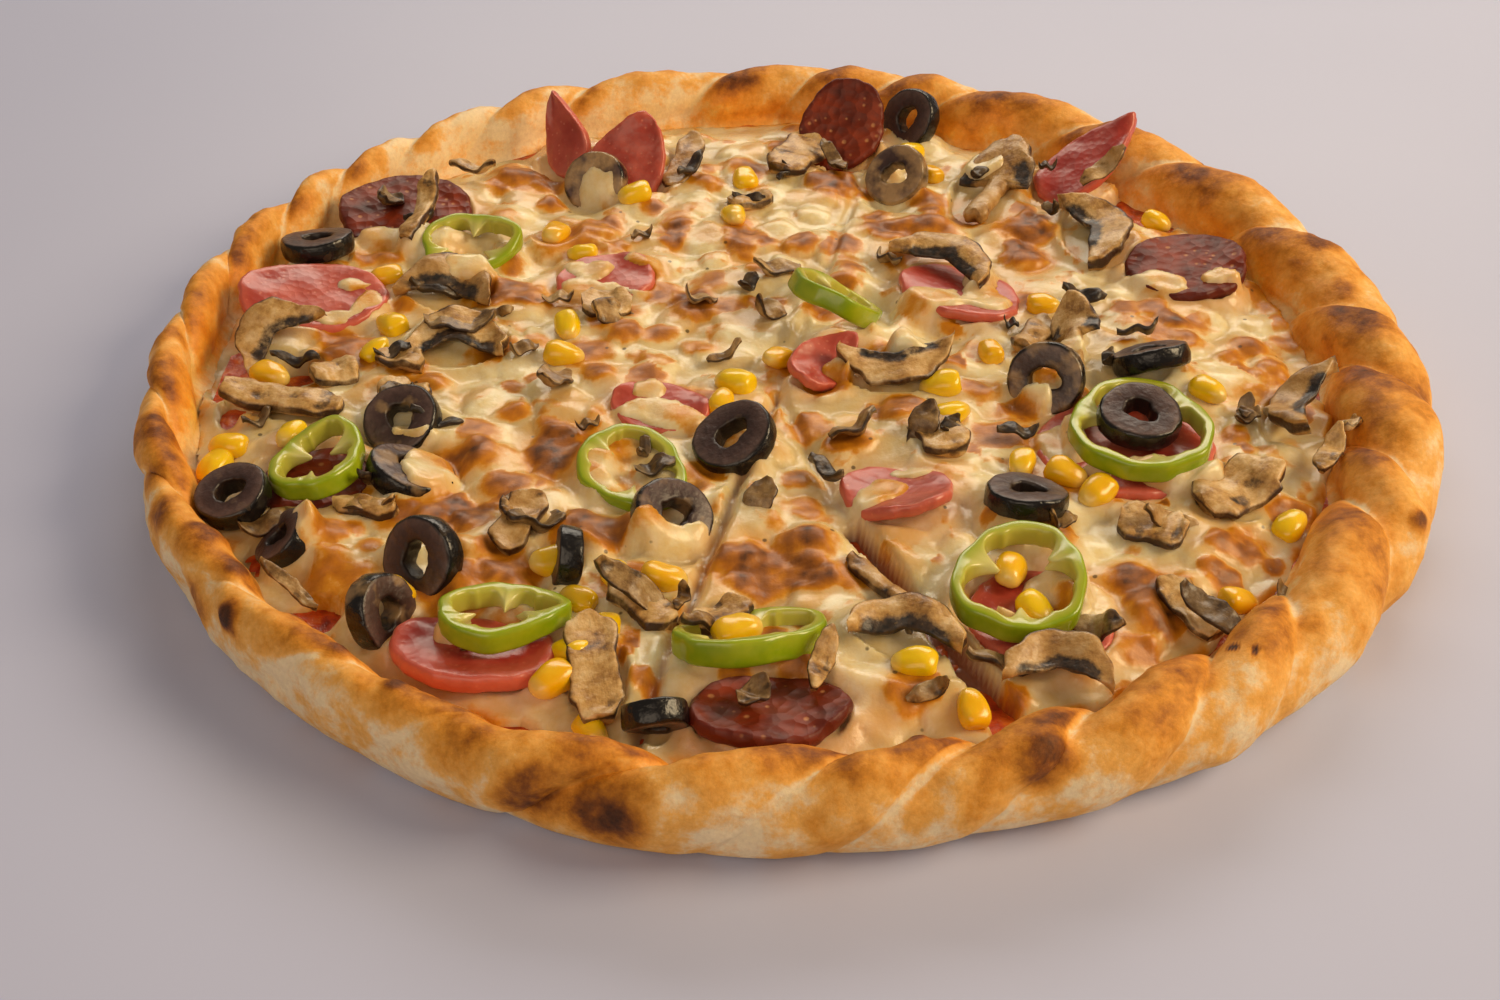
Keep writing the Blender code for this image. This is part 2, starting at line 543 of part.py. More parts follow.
for kind, finish, slices in (("salami", salami, SALAMI), ("sausage", sausage, SAUSAGE)):
    for number, (x, y, z, length, width, thick, bend, *tip) in enumerate(slices, start=1):
        name = f"{kind}_{number:02d}"
        cut = meat_slice(length, width, thick, bend, POINTED.get(name, 0.0))
        pocket = pocket_disc(length, width, thick, bend)
        add_topping(name, finish, cut, pocket, (x, y, z), turned_and_leaned(*tip), pockets)
for number, (kind, x, y, z, length, width, thick, bend, *tip) in enumerate(MUSHROOMS, start=1):
    cut = mushroom_slice(kind, length, width, thick, bend)
    pocket = mushroom_pocket(kind, length, width, thick, bend)
    add_topping(f"mushroom_{number:02d}", mushroom, cut, pocket, (x, y, z), turned_and_leaned(*tip), pockets)
for name, (start, end, first_width, last_width) in (("open_cut", OPEN_CUT), ("closed_cut", CLOSED_CUT)):
    set_aside(pockets, name, wedge_cut((start, end), (first_width, last_width)))

for group in (fused, pockets):
    bpy.context.scene.collection.children.link(group)
apply_boolean(cheese, "UNION", fused, "MANIFOLD")
apply_boolean(cheese, "DIFFERENCE", pockets, "MANIFOLD")
drop_scraps(cheese)
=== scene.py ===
# A pan pizza dressed over its solids: rolled rim, sauce, melted cheese and the toppings on it.
# Sizes are millimetres and angles are degrees until a finished mesh is scaled to metres.
import math
import random
from functools import partial

import bmesh
import bpy
import numpy as np
from mathutils import Matrix, Vector, noise


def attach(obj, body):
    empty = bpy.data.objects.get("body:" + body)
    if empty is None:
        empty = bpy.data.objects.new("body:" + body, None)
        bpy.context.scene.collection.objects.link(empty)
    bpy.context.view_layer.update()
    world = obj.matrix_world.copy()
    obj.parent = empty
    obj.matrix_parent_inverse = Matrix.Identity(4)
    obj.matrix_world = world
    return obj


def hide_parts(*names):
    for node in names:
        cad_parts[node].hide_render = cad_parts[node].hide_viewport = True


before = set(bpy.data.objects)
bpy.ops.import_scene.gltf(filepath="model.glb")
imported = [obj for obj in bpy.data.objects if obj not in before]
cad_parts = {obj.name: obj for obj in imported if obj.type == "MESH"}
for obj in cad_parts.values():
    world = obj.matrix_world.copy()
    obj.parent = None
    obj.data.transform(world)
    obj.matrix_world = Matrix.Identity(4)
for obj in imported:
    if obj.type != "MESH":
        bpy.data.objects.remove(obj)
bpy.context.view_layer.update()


# The table that the pizza stands on, in the light of a window behind it and to the right.
# The table is a plain pale laminate, and the lights are soft panels.

MM = 0.001
CAMERA_PLACE = (-8.55, -363.1, 248.9)
CAMERA_TILT = 52.37
CAMERA_LENS = 43.2
CAMERA_SENSOR = 36.0
CAMERA_NEAREST = 10.0
TABLE_SIZE = 6000.0
TABLE_COLOURS = ("#C0C8EC", "#C8CFF2")
PANELS = (   # name, place, size, power, colour
    ("side", (1150.0, -60.0, 800.0), (700.0, 700.0), 15.4, "#FCE0B2"),
    ("window", (160.0, 1250.0, 850.0), (1300.0, 560.0), 10.2, "#FFF2DE"),
    ("front", (-360.0, -1100.0, 900.0), (1200.0, 900.0), 5.2, "#FFE6C8"))
SKY_COLOUR = "#E6D8C4"
SKY_STRENGTH = 0.22
OF_COLOURS = {"out": 2, "data_type": "RGBA"}


def linear(colour):
    """An sRGB hex colour as linear red, green, blue and alpha."""
    parts = [int(colour[start:start + 2], 16) / 255.0 for start in (1, 3, 5)]
    return (*(part / 12.92 if part <= 0.04045 else ((part + 0.055) / 1.055) ** 2.4 for part in parts), 1.0)


def set_inputs(tree, node, inputs):
    """Gives each input, by name or in order, a value, a hex colour or another node's socket."""
    for name, value in inputs.items() if isinstance(inputs, dict) else enumerate(inputs):
        if isinstance(value, bpy.types.NodeSocket):
            tree.links.new(value, node.inputs[name])
        else:
            node.inputs[name].default_value = linear(value) if isinstance(value, str) else value


def add_node(tree, kind, inputs=(), out=0, stops=(), **settings):
    """A node with its settings, links and colour stops. It gives back one of the node's outputs.
    A pattern's scale is its spots per metre, so 250 has one every 4 mm."""
    made = tree.nodes.new("ShaderNode" + kind)
    for name, value in settings.items():
        setattr(made, name, value)
    set_inputs(tree, made, inputs)
    for spare, (at, colour) in enumerate(stops):
        stop = made.color_ramp.elements[spare] if spare < 2 else made.color_ramp.elements.new(at)
        stop.position = at
        stop.color = linear(colour)
    return made.outputs[out]


def new_material(name, *marks):
    """A Principled material, what adds its nodes, what sets its shader, its place and painted marks."""
    made = bpy.data.materials.new(name)
    made.use_nodes = True
    tree = made.node_tree
    add = partial(add_node, tree)
    shade = partial(set_inputs, tree, tree.nodes["Principled BSDF"])
    read = [add("Attribute", out="Fac", attribute_name=mark) for mark in marks]
    return made, add, shade, add("TexCoord", out="Object"), *read


def coated(add, surface, *coats):
    """Colours laid one over another: each is a colour, what it shows by, and the range that fades it in."""
    for colour, reading, *fade in coats:
        share = add("MapRange", [reading, *fade]) if fade else reading
        surface = add("Mix", {0: share, 6: surface, 7: colour}, **OF_COLOURS)
    return surface


def broken_up(add, mark, pattern, *fade):
    """A painted mark whose even edge is broken up by a pattern."""
    return add("Math", [mark, add("MapRange", [pattern, *fade])], operation="ADD")


def weighed(add, first, weight, second):
    """One pattern at a weight, and another added to it."""
    return add("Math", [first, weight, second], operation="MULTIPLY_ADD")


def mesh_of(name, made):
    """A mesh of a finished bmesh, its faces outward."""
    if made.calc_volume(signed=True) < 0.0:
        bmesh.ops.reverse_faces(made, faces=made.faces)
    mesh = bpy.data.meshes.new(name)
    made.to_mesh(mesh)
    made.free()
    return mesh


def put_in(name, data):
    """A new object in the scene, at the origin."""
    made = bpy.data.objects.new(name, data)
    bpy.context.scene.collection.objects.link(made)
    return made


view = bpy.data.cameras.new("view")
view.lens = CAMERA_LENS
view.sensor_width = CAMERA_SENSOR
view.clip_start = CAMERA_NEAREST * MM
camera = put_in("view", view)
camera.location = Vector(CAMERA_PLACE) * MM
camera.rotation_euler = (math.radians(CAMERA_TILT), 0.0, 0.0)
bpy.context.scene.camera = camera

# Laminate: a smooth pressed sheet, all but even in tone, with a soft shine.
laminate, add, shade, place = new_material("pale_laminate")
cloud = add("TexNoise", {"Vector": place, "Scale": 6.0, "Detail": 2.0})
shade({"Base Color": coated(add, TABLE_COLOURS[0], (TABLE_COLOURS[1], cloud)), "Roughness": 0.5})

bm = bmesh.new()
bmesh.ops.create_grid(bm, x_segments=1, y_segments=1, size=0.5 * TABLE_SIZE * MM)
table = put_in("table_top", mesh_of("table_top", bm))
table.data.materials.append(laminate)

for name, spot, (width, height), power, colour in PANELS:
    lamp = bpy.data.lights.new(name, "AREA")
    lamp.shape = "RECTANGLE"
    lamp.size = width * MM
    lamp.size_y = height * MM
    lamp.energy = power
    lamp.color = linear(colour)[:3]
    panel = put_in(name, lamp)
    panel.location = Vector(spot) * MM
    panel.rotation_euler = (-Vector(spot)).to_track_quat("-Z", "Y").to_euler()

world = bpy.data.worlds.new("room")
world.use_nodes = True
sky = world.node_tree.nodes["Background"]
set_inputs(world.node_tree, sky, {"Color": SKY_COLOUR, "Strength": SKY_STRENGTH})
bpy.context.scene.world = world
bpy.context.scene.view_settings.view_transform = "Standard"


# The crust is wheat dough pressed into a round with its edge rolled inward in overlapping folds.
# The oven has left the tops of the folds brown and the creases between them pale. It is one
# turned profile whose points are moved on to the folds, as the solid's are, then blistered.

CRUST_RADIUS = 150.0
BASE_THICKNESS = 7.0
RIM_HEIGHT = 21.4
RIM_BACK_RISE = 0.9
RIM_HALF_WIDTH = 7.9
RIM_RIGHT_SWELL = 2.9
RIM_WIDEST_AT = 10.0
RIM_FOOT = 3.0
TWIST = 0.062
TWIST_FROM = 80.0
FOLD_LEAN = 1.35
FOLD_ROUNDNESS = 0.7
FOLD_MEAN = 0.62
FOLD_AT_FOOT = 0.3
RIM_UNEVEN = 1.3
RIM_HEIGHT_UNEVEN = 0.5
UNDER_INSET = 3.4
LOWEST_ROLL_LIFT = 0.4
LOWEST_ROLL = -62.0
ROLL_STEPS = 62
RIM_STEPS = 1080
RIM_FOLDS = (   # angle of each crease and its depth
    (-103, 5.6), (-89, 2.6), (-80, 2.8), (-70, 3.0), (-58, 3.4), (-47, 3.2), (-31, 3.6), (-22, 4.0),
    (-8, 4.4), (3, 2.6), (20, 4.0), (38, 3.4), (50, 2.8), (66, 3.2), (75, 2.6), (84, 2.8), (96, 3.0),
    (113, 3.2), (124, 3.0), (135, 3.0), (145, 2.8), (154, 3.0), (165, 3.0), (177, 3.0), (190, 2.4),
    (203, 2.8), (219, 1.8), (232, 1.3), (244, 1.3))
RIM_MARKS = (   # angle, radius, size, rise and browning of each blister or scorched patch
    (-72.5, 146.5, 6.6, 1.9, 0.82), (-81, 138, 2.4, 0.8, 0.8), (-52.5, 142, 1.4, -0.2, 1.0),
    (-53.4, 138.5, 1.5, -0.2, 1.0), (-58, 136, 7, 0.4, 0.62), (-49, 140, 7, 0.3, 0.6),
    (-34, 138.5, 8, 0.4, 0.62), (-10, 145, 10, 0.4, 0.64), (-46, 145, 4, 0.5, 0.5), (-29, 147, 3, 0.8, 0.72),
    (1.5, 140, 8, 0.3, 0.66), (7.5, 137, 5, 0.2, 0.62), (15.5, 142, 8, 0.4, 0.7), (25, 150, 7, 0.3, 0.72),
    (32, 150, 8, 0.3, 0.76), (38, 151, 6, 0.5, 0.85), (41, 152, 2.4, 1.0, 1.0), (43, 151, 1.8, 0.8, 1.0),
    (58, 150, 9, 0.2, 0.82), (66, 150, 6, 0.2, 0.75), (77, 150, 7, 0.2, 0.92), (82, 152, 6, 0.2, 0.96),
    (90, 150, 6, 0.2, 0.8), (97, 151, 8, 0.4, 1.0), (104, 152, 7, 0.3, 0.95), (110, 152, 7, 0.3, 1.0),
    (116, 150, 6, 0.2, 0.7), (123.5, 152, 3.5, 0.4, 1.0), (133, 152, 3, 0.6, 1.0), (145, 150, 6, 0.2, 0.5),
    (160, 149, 7, 0.2, 0.5), (172, 148, 7, 0.2, 0.55), (182, 147, 6, 0.2, 0.6), (188, 144, 6, 0.3, 0.66),
    (196.5, 144.5, 8, 0.4, 0.72), (203, 146, 5, 0.3, 0.7), (208, 147, 6, 0.3, 0.66),
    (213.5, 143, 6, 0.5, 0.74), (218.5, 142, 4, 0.6, 0.78), (222.4, 148.5, 4.0, 1.0, 0.88),
    (217, 151, 6, 0.0, 0.62), (232.7, 142, 3, 0.7, 0.8), (238.9, 143, 3, 0.7, 0.8), (227, 141, 3, 0.4, 0.7),
    (251.5, 151, 9, 0.0, 0.74), (256.8, 153, 9, 0.0, 0.84), (246, 145, 9, 0.0, 0.55),
    (256.5, 146, 5, 0.0, 0.6), (262, 146, 4, 0.2, 0.35), (268, 141, 5, 0.3, 0.66), (274, 143, 6, 0.2, 0.55))
RAGGEDNESS = 2.4            # how far a patch's outline wanders
DOUGH_SWELLS = ((1.3, 17.0, 5.0), (0.6, 7.0, 6.0), (0.28, 3.2, 7.0), (0.1, 1.5, 8.0))   # height, size, layer
PALE_TURN, PALE_SPREAD = 126.0, 24.0   # where the rim's inner face is hardly browned


def eased(share):
    share = min(1.0, max(0.0, share))
    return share * share * (3.0 - 2.0 * share)


def around(angle):
    return Vector((math.cos(math.radians(angle)), math.sin(math.radians(angle)), 0.0))


def rim_half_width(angle):
    return RIM_HALF_WIDTH + RIM_RIGHT_SWELL * math.cos(math.radians(angle - RIM_WIDEST_AT))


def fold_at(column):
    """Where an angle lies between two creases, from 0 to 1, and how deep they are there."""
    first = RIM_FOLDS[0][0]
    column = (column - first) % 360.0 + first
    ends = RIM_FOLDS[1:] + ((first + 360.0, RIM_FOLDS[0][1]),)
    for (start, depth), (end, next_depth) in zip(RIM_FOLDS, ends):
        if column < end:
            share = (column - start) / (end - start)
            return share, depth + (next_depth - depth) * share
    return 1.0, RIM_FOLDS[0][1]


def rim_point(column, roll):
    """A point of the rim. The roll is 0 outward, 90 on top and 180 at the inner wall."""
    share, depth = fold_at(column)
    bulge = math.sin(math.pi * min(1.0, share) ** FOLD_LEAN) ** FOLD_ROUNDNESS if share < 1.0 else 0.0
    fading = FOLD_AT_FOOT + (1.0 - FOLD_AT_FOOT) * eased((roll + 60.0) / 90.0)
    swell = depth * (bulge - FOLD_MEAN) * fading
    angle = column + TWIST * (roll - TWIST_FROM)
    way = around(angle)
    uneven = RIM_UNEVEN * noise.noise(way * 2.2)
    half_width = rim_half_width(angle)
    half_height = 0.5 * (RIM_HEIGHT + RIM_BACK_RISE * way.y) + RIM_HEIGHT_UNEVEN * noise.noise(way * 3.1)
    radius = CRUST_RADIUS - half_width + uneven + (half_width + swell) * math.cos(math.radians(roll))
    height = half_height + (half_height + swell) * math.sin(math.radians(roll))
    return way * radius + Vector((0.0, 0.0, max(LOWEST_ROLL_LIFT, height)))


def drift(points, size, layer=0.0):
    """Smooth noise from about -1 to 1 at each point, its swells as far apart as the size."""
    shift = Vector((layer, -layer, 0.5 * layer))
    return np.array([noise.noise(Vector(point) / size + shift) for point in points.tolist()])


def shaken(points, size, layer):
    """A smooth push of each point in all three directions."""
    return np.stack([drift(points, size, layer + 7.0 * axis) for axis in range(3)], 1)


def step_up(value, low, high):
    """0 below the low value, 1 above the high one, and smooth between."""
    share = np.clip((value - low) / (high - low), 0.0, 1.0)
    return share * share * (3.0 - 2.0 * share)


def climb(value, low, high):
    """0 below the low value, 1 above the high one, and straight between."""
    return np.clip((value - low) / (high - low), 0.0, 1.0)


def turned(profile, steps, closed):
    """A grid wrapped round the upright. A closed profile makes a ring, an open one may end on the axis."""
    rows = list(profile) + ([profile[0]] if closed else [])
    made = bmesh.new()
    bmesh.ops.create_grid(made, x_segments=steps, y_segments=len(rows) - 1, size=1.0)
    for vert in made.verts:
        radius, height = rows[round(0.5 * (vert.co.y + 1.0) * (len(rows) - 1))]
        angle = math.pi * vert.co.x
        vert.co = (radius * math.cos(angle), radius * math.sin(angle), height)
    bmesh.ops.remove_doubles(made, verts=made.verts, dist=0.0005)
    bmesh.ops.recalc_face_normals(made, faces=made.faces)
    return made


def read_flat(source, field, count):
    """Three numbers for each point, read in one go."""
    flat = np.empty(3 * count)
    source.foreach_get(field, flat)
    return flat.reshape(-1, 3)


def points_of(mesh):
    return read_flat(mesh.vertices, "co", len(mesh.vertices))


def round_mesh(name, made):
    """A turned mesh, its points, how far each lies from the axis, and at what angle."""
    mesh = mesh_of(name, made)
    points = points_of(mesh)
    return mesh, points, np.hypot(points[:, 0], points[:, 1]), np.arctan2(points[:, 1], points[:, 0])


def move_to(mesh, points):
    mesh.vertices.foreach_set("co", np.ascontiguousarray(points, dtype=np.float32).ravel())
    mesh.update()


def paint(mesh, **layers):
    """Keeps numbers with the mesh's points, for its material to read."""
    for name, values in layers.items():
        kept = mesh.attributes.new(name, "FLOAT", "POINT")
        values = np.broadcast_to(values, len(mesh.vertices))
        kept.data.foreach_set("value", np.ascontiguousarray(values, dtype=np.float32))


def finished(name, mesh, finish, slot, *nodes):
    """Makes a piece of a mesh in millimetres: to metres, smooth, riding, in place of its solids."""
    mesh.transform(Matrix.Scale(MM, 4))
    mesh.materials.append(finish)
    mesh.shade_smooth()
    made = put_in(name, mesh)
    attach(made, "root")
    if nodes:
        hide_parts(*nodes)


# Baked wheat dough: a dry skin that scatters light, pale where the oven missed it and scorched
# where it did not, and paler on the rim's left side as painted light. It is mottled every 6 mm,
# freckled every 2 and pitted every 1. Cheese has oiled its foot.
dough, add, shade, place, mark, oil = new_material("baked_dough", "baked", "oiled")
mottle = add("TexNoise", {"Vector": place, "Scale": 160.0, "Detail": 6.0, "Roughness": 0.62})
pores = add("TexNoise", {"Vector": place, "Scale": 900.0, "Detail": 4.0, "Roughness": 0.7})
freckles = add("TexNoise", {"Vector": place, "Scale": 520.0, "Detail": 5.0, "Roughness": 0.7})
browned = broken_up(add, mark, mottle, 0.3, 0.7, -0.17, 0.17)
browned = broken_up(add, browned, freckles, 0.35, 0.65, -0.05, 0.05)
tan = add("ValToRGB", [browned], stops=(
    (0.0, "#FFE6BC"), (0.2, "#FCBC60"), (0.4, "#E89C34"), (0.57, "#C07614"), (0.72, "#864808"),
    (0.86, "#502604"), (1.0, "#1E0E04")))
oiled_tan = add("Mix", {0: oil, 6: tan, 7: "#FFDC74"}, blend_type="MULTIPLY", **OF_COLOURS)
shade({"Base Color": coated(add, oiled_tan, ("#8C5A30", pores, 0.35, 0.65, 0.0, 0.16)),
       "Roughness": add("MapRange", [oil, 0.0, 1.0, 0.62, 0.36]), "Specular IOR Level": 0.34,
       "Subsurface Weight": 0.1, "Subsurface Radius": (0.0034, 0.0022, 0.001), "Subsurface Scale": 0.6,
       "Normal": add("Bump", {"Height": weighed(add, pores, 0.35, mottle),
                            "Distance": 0.7 * MM, "Strength": 0.6})})

rolls = [LOWEST_ROLL + (180.0 - LOWEST_ROLL) * step / ROLL_STEPS for step in range(ROLL_STEPS + 1)]
rings = ["middle under", "under"] + rolls + ["foot", "base", "middle"]
profile = [(1.0 + step if 0 < step < len(rings) - 1 else 0.0, 0.5 * step) for step in range(len(rings))]
crust_mesh = mesh_of("crust_skin", turned(profile, RIM_STEPS, closed=False))
points = points_of(crust_mesh)
roll_of = np.full(len(points), -90.0)
column_of = np.zeros(len(points))
for index, (x, y, z) in enumerate(points.tolist()):
    ring = rings[int(round(2.0 * z))]
    column = math.degrees(math.atan2(y, x))
    column_of[index] = column
    inner = column + TWIST * (180.0 - TWIST_FROM)
    if ring == "under":
        low = rim_point(column, LOWEST_ROLL)
        spot = Vector((low.x, low.y, 0.0)) * (1.0 - UNDER_INSET / math.hypot(low.x, low.y))
    elif ring == "foot":
        spot = around(inner) * (CRUST_RADIUS - 2.0 * rim_half_width(inner) - RIM_FOOT)
        spot.z = BASE_THICKNESS
    elif ring == "base":
        spot = around(inner) * 0.5 * CRUST_RADIUS
        spot.z = BASE_THICKNESS
    elif ring == "middle":
        spot = Vector((0.0, 0.0, BASE_THICKNESS))
    elif ring == "middle under":
        spot = Vector((0.0, 0.0, 0.0))
    else:
        roll_of[index] = ring
        spot = rim_point(column, ring)
    points[index] = spot
move_to(crust_mesh, points)

rise = np.zeros(len(points))
marked = np.zeros(len(points))
wander = np.stack([drift(points, 6.0, layer) for layer in (1.0, 2.0, 3.0)], axis=1) * RAGGEDNESS
for angle, radius, size, height, browning in RIM_MARKS:
    half_width = rim_half_width(angle)
    cosine = (radius - CRUST_RADIUS + half_width) / half_width
    roll = math.degrees(math.acos(max(-0.97, min(0.97, cosine))))
    centre = np.array(rim_point(angle - TWIST * (roll - TWIST_FROM), roll))
    ragged = 1.0 if abs(height) < 0.6 else 0.35   # a blister keeps a rounder outline than a stain
    away = np.linalg.norm(points + ragged * wander - centre, axis=1) / size
    rise += height * np.exp(-(1.25 * away) ** 4)
    marked = np.maximum(marked, browning * np.clip(1.5 - 1.15 * away, 0.0, 1.0) ** 0.8)
swells = sum(height * drift(points, size, layer) for height, size, layer in DOUGH_SWELLS)
relief = (rise + swells) * climb(roll_of, -62.0, -22.0)
points += read_flat(crust_mesh.vertex_normals, "vector", len(points)) * relief[:, None]
points[:, 2] = np.maximum(points[:, 2], 0.0)
move_to(crust_mesh, points)

# How brown each point is: the tops and lips of the folds most, their creases and the back least.
# The rim's left side is also made paler: painted light, as if more light fell on it there.
shares = np.array([fold_at(column)[0] for column in column_of.tolist()])
top = np.exp(-((roll_of - 88.0) / 46.0) ** 2)
lip = np.exp(-((roll_of - 122.0) / 26.0) ** 2)
head = climb(shares, 0.25, 0.75) * climb(-shares, -1.02, -0.92)
crease = np.clip(1.0 - np.minimum(shares, 1.0 - shares) / 0.07, 0.0, 1.0)
blotch = drift(points, 16.0, 9.0) + 0.6 * drift(points, 6.0, 10.0)
inner_side = climb(roll_of, 105.0, 155.0)
turn_of = np.degrees(np.arctan2(points[:, 1], points[:, 0]))
pale = np.exp(-((turn_of - PALE_TURN) / PALE_SPREAD) ** 4) * climb(roll_of, 75.0, 105.0)
baked = 0.17 + 0.10 * top + 0.24 * head * top + 0.26 * lip * (0.35 + 0.65 * head) + 0.22 * blotch
baked -= 0.34 * crease * np.clip(top + 0.4, 0.0, 1.0) + 0.05 * climb(-roll_of, -10.0, 50.0)
# The inner side is browned a little more, and the left side is made paler as painted light.
baked += 0.04 * inner_side - 0.1 * np.clip(-np.cos(np.radians(column_of)), 0.0, 1.0)
baked -= 0.36 * pale * np.clip(0.8 + 1.2 * drift(points, 9.0, 13.0), 0.0, 1.0)
oiled = inner_side * np.clip(0.65 + 0.8 * drift(points, 13.0, 12.0), 0.0, 1.0) * (1.0 - 0.75 * pale)
baked = np.where(marked > 0.0, np.maximum(baked, marked * 0.95), baked)
paint(crust_mesh, baked=np.clip(baked, 0.0, 1.0), oiled=oiled)
finished("crust_skin", crust_mesh, dough, "baked_dough", "crust")


# Tomato sauce, cooked until it is nearly dry, lies in a thin coat on the base. It only shows
# where the cheese has drawn back from the rim or a cut has opened. It is a fine wavy sheet.

SAUCE_LEVEL = 8.6
SAUCE_SPACING = 1.6
SAUCE_REACH = 2.0           # how far the coat goes in under the rim
SAUCE_WAVES = ((0.5, 7.0, 20.0), (0.25, 3.0, 21.0))   # height, size, layer


def disc_grid(radius, spacing):
    """A level grid of squares cut to a round outline."""
    cells = int(math.ceil(2.0 * radius / spacing))
    made = bmesh.new()
    bmesh.ops.create_grid(made, x_segments=cells, y_segments=cells, size=0.5 * cells * spacing)
    outside = [vert for vert in made.verts if vert.co.x ** 2 + vert.co.y ** 2 > radius ** 2]
    bmesh.ops.delete(made, geom=outside, context="VERTS")
    return made


# Cooked tomato: a wet orange-red pulp in lumps of 3 mm, darker where it is thick, shiny all over.
sauce, add, shade, place = new_material("tomato_sauce")
pulp = add("TexNoise", {"Vector": place, "Scale": 320.0, "Detail": 5.0})
shade({"Base Color": add("ValToRGB", [pulp], stops=((0.3, "#8E2A0C"), (0.5, "#C64A12"), (0.7, "#E27A26"))),
       "Roughness": 0.3, "Normal": add("Bump", {"Height": pulp, "Distance": 0.8 * MM})})

bm = disc_grid(CRUST_RADIUS - 2.0 * RIM_HALF_WIDTH + SAUCE_REACH, SAUCE_SPACING)
sauce_mesh = mesh_of("sauce_coat", bm)
points = points_of(sauce_mesh)
points[:, 2] = SAUCE_LEVEL + sum(height * drift(points, size, layer) for height, size, layer in SAUCE_WAVES)
move_to(sauce_mesh, points)
finished("sauce_coat", sauce_mesh, sauce, "tomato_sauce")


# The toppings, as they were laid: each table gives where a piece lies, how large it is, and how
# far its upper face leans and toward what direction. The solids have the same places.

OLIVE_THICKNESS = 5.6
OLIVES = (   # x, y, height of the middle, radius, lean and its direction
    (-120, 45, 17.4, 8.8, 14, 110), (-118, -60.5, 16.8, 7.6, 18, 235), (-12, -40, 17.0, 9.0, 28, 215),
    (-25, -66, 15.4, 8.4, 34, 320), (-75, -81, 16.6, 8.6, 60, 235), (-81, -97, 16.0, 7.6, 70, 335),
    (78, -35, 19.2, 8.8, 10, 275), (85, -10, 18.6, 8.6, 30, 115), (60, -16, 16.6, 8.6, 60, 245),
    (50, -61, 16.6, 8.4, 16, 70), (38, 116, 18.4, 8.4, 64, 225), (-26, -125, 15.0, 6.0, 55, 95),
    (-51, 84, 14.8, 8.4, 52, 250), (-87, -30, 14.6, 8.4, 34, 250), (-82.5, -49, 13.8, 9.2, 24, 25),
    (-46, -79, 14.8, 6.4, 74, 185), (32, 85, 16.2, 8.4, 46, 232), (-105, -72, 13.8, 6.6, 40, 190))
PEPPERS = (   # x, y, height of the middle, length, width, thickness, turn, lean and its direction
    (-102, -49, 17.6, 24, 20, 4.8, 80, 8, 190), (-57, -99, 17.0, 25, 20, 4.8, 15, 12, 80),
    (45, -90, 18.0, 31, 27, 5.0, 75, 4, 250), (78, -37, 17.6, 36, 32, 4.8, 85, 3, 90),
    (13, 17, 18.0, 27, 23, 5.2, 50, 36, 35), (-9, -104, 15.6, 30, 20, 5.6, 18, 24, 95),
    (-81, 47, 16.0, 25, 22, 5.0, 10, 16, 265), (-34, -48.4, 14.0, 27, 23, 4.6, -50, 8, 300))
SALAMI = (   # x, y, height of the middle, length, width, thickness, bend, turn, lean and its direction
    (-117, 21, 15.6, 37, 26, 3.0, 2.0, 5, 12, 320), (-62, -106, 12.8, 32, 23, 3.6, 1.2, -14, 10, 75),
    (49, -95, 12.0, 30, 30, 2.8, 0.2, 0, 2, 90), (75, -38, 12.0, 39, 38, 2.8, 0.3, 0, 2, 120),
    (9, -6, 14.6, 23, 15, 3.0, 2.5, 55, 26, 320), (44, 26, 13.8, 32, 27, 2.8, 0.8, -50, 8, 50),
    (-61, 105, 19.0, 26, 17, 2.8, 2.0, 88, 58, 232), (-42, 93, 17.6, 27, 25, 2.8, 1.0, 66, 46, 262),
    (85, 88, 19.8, 37, 21, 2.8, 1.0, 34, 26, 216), (23, -58, 14.8, 25, 21, 2.8, 2.2, -40, 14, 120),
    (-45, 33, 13.4, 25, 22, 2.8, 1.0, 0, 8, 250), (-29, -24, 13.2, 24, 17, 2.8, 1.4, -20, 8, 270))
SAUSAGE = (   # as for the salami
    (-101, 66, 14.8, 36, 33, 3.2, 1.0, 20, 8, 300), (103, 38, 14.4, 31, 30, 3.4, 1.2, 0, 6, 200),
    (-5, -122, 12.8, 31, 21, 3.4, 1.4, 2, 10, 90), (18, 112, 18.2, 28, 24, 3.2, 1.2, 75, 46, 258),
    (-103, -50, 11.8, 25, 24, 3.0, 0.2, 0, 2, 90))
POINTED = {"salami_05": 0.5, "salami_07": 0.85, "salami_08": 0.5, "salami_09": 0.65}
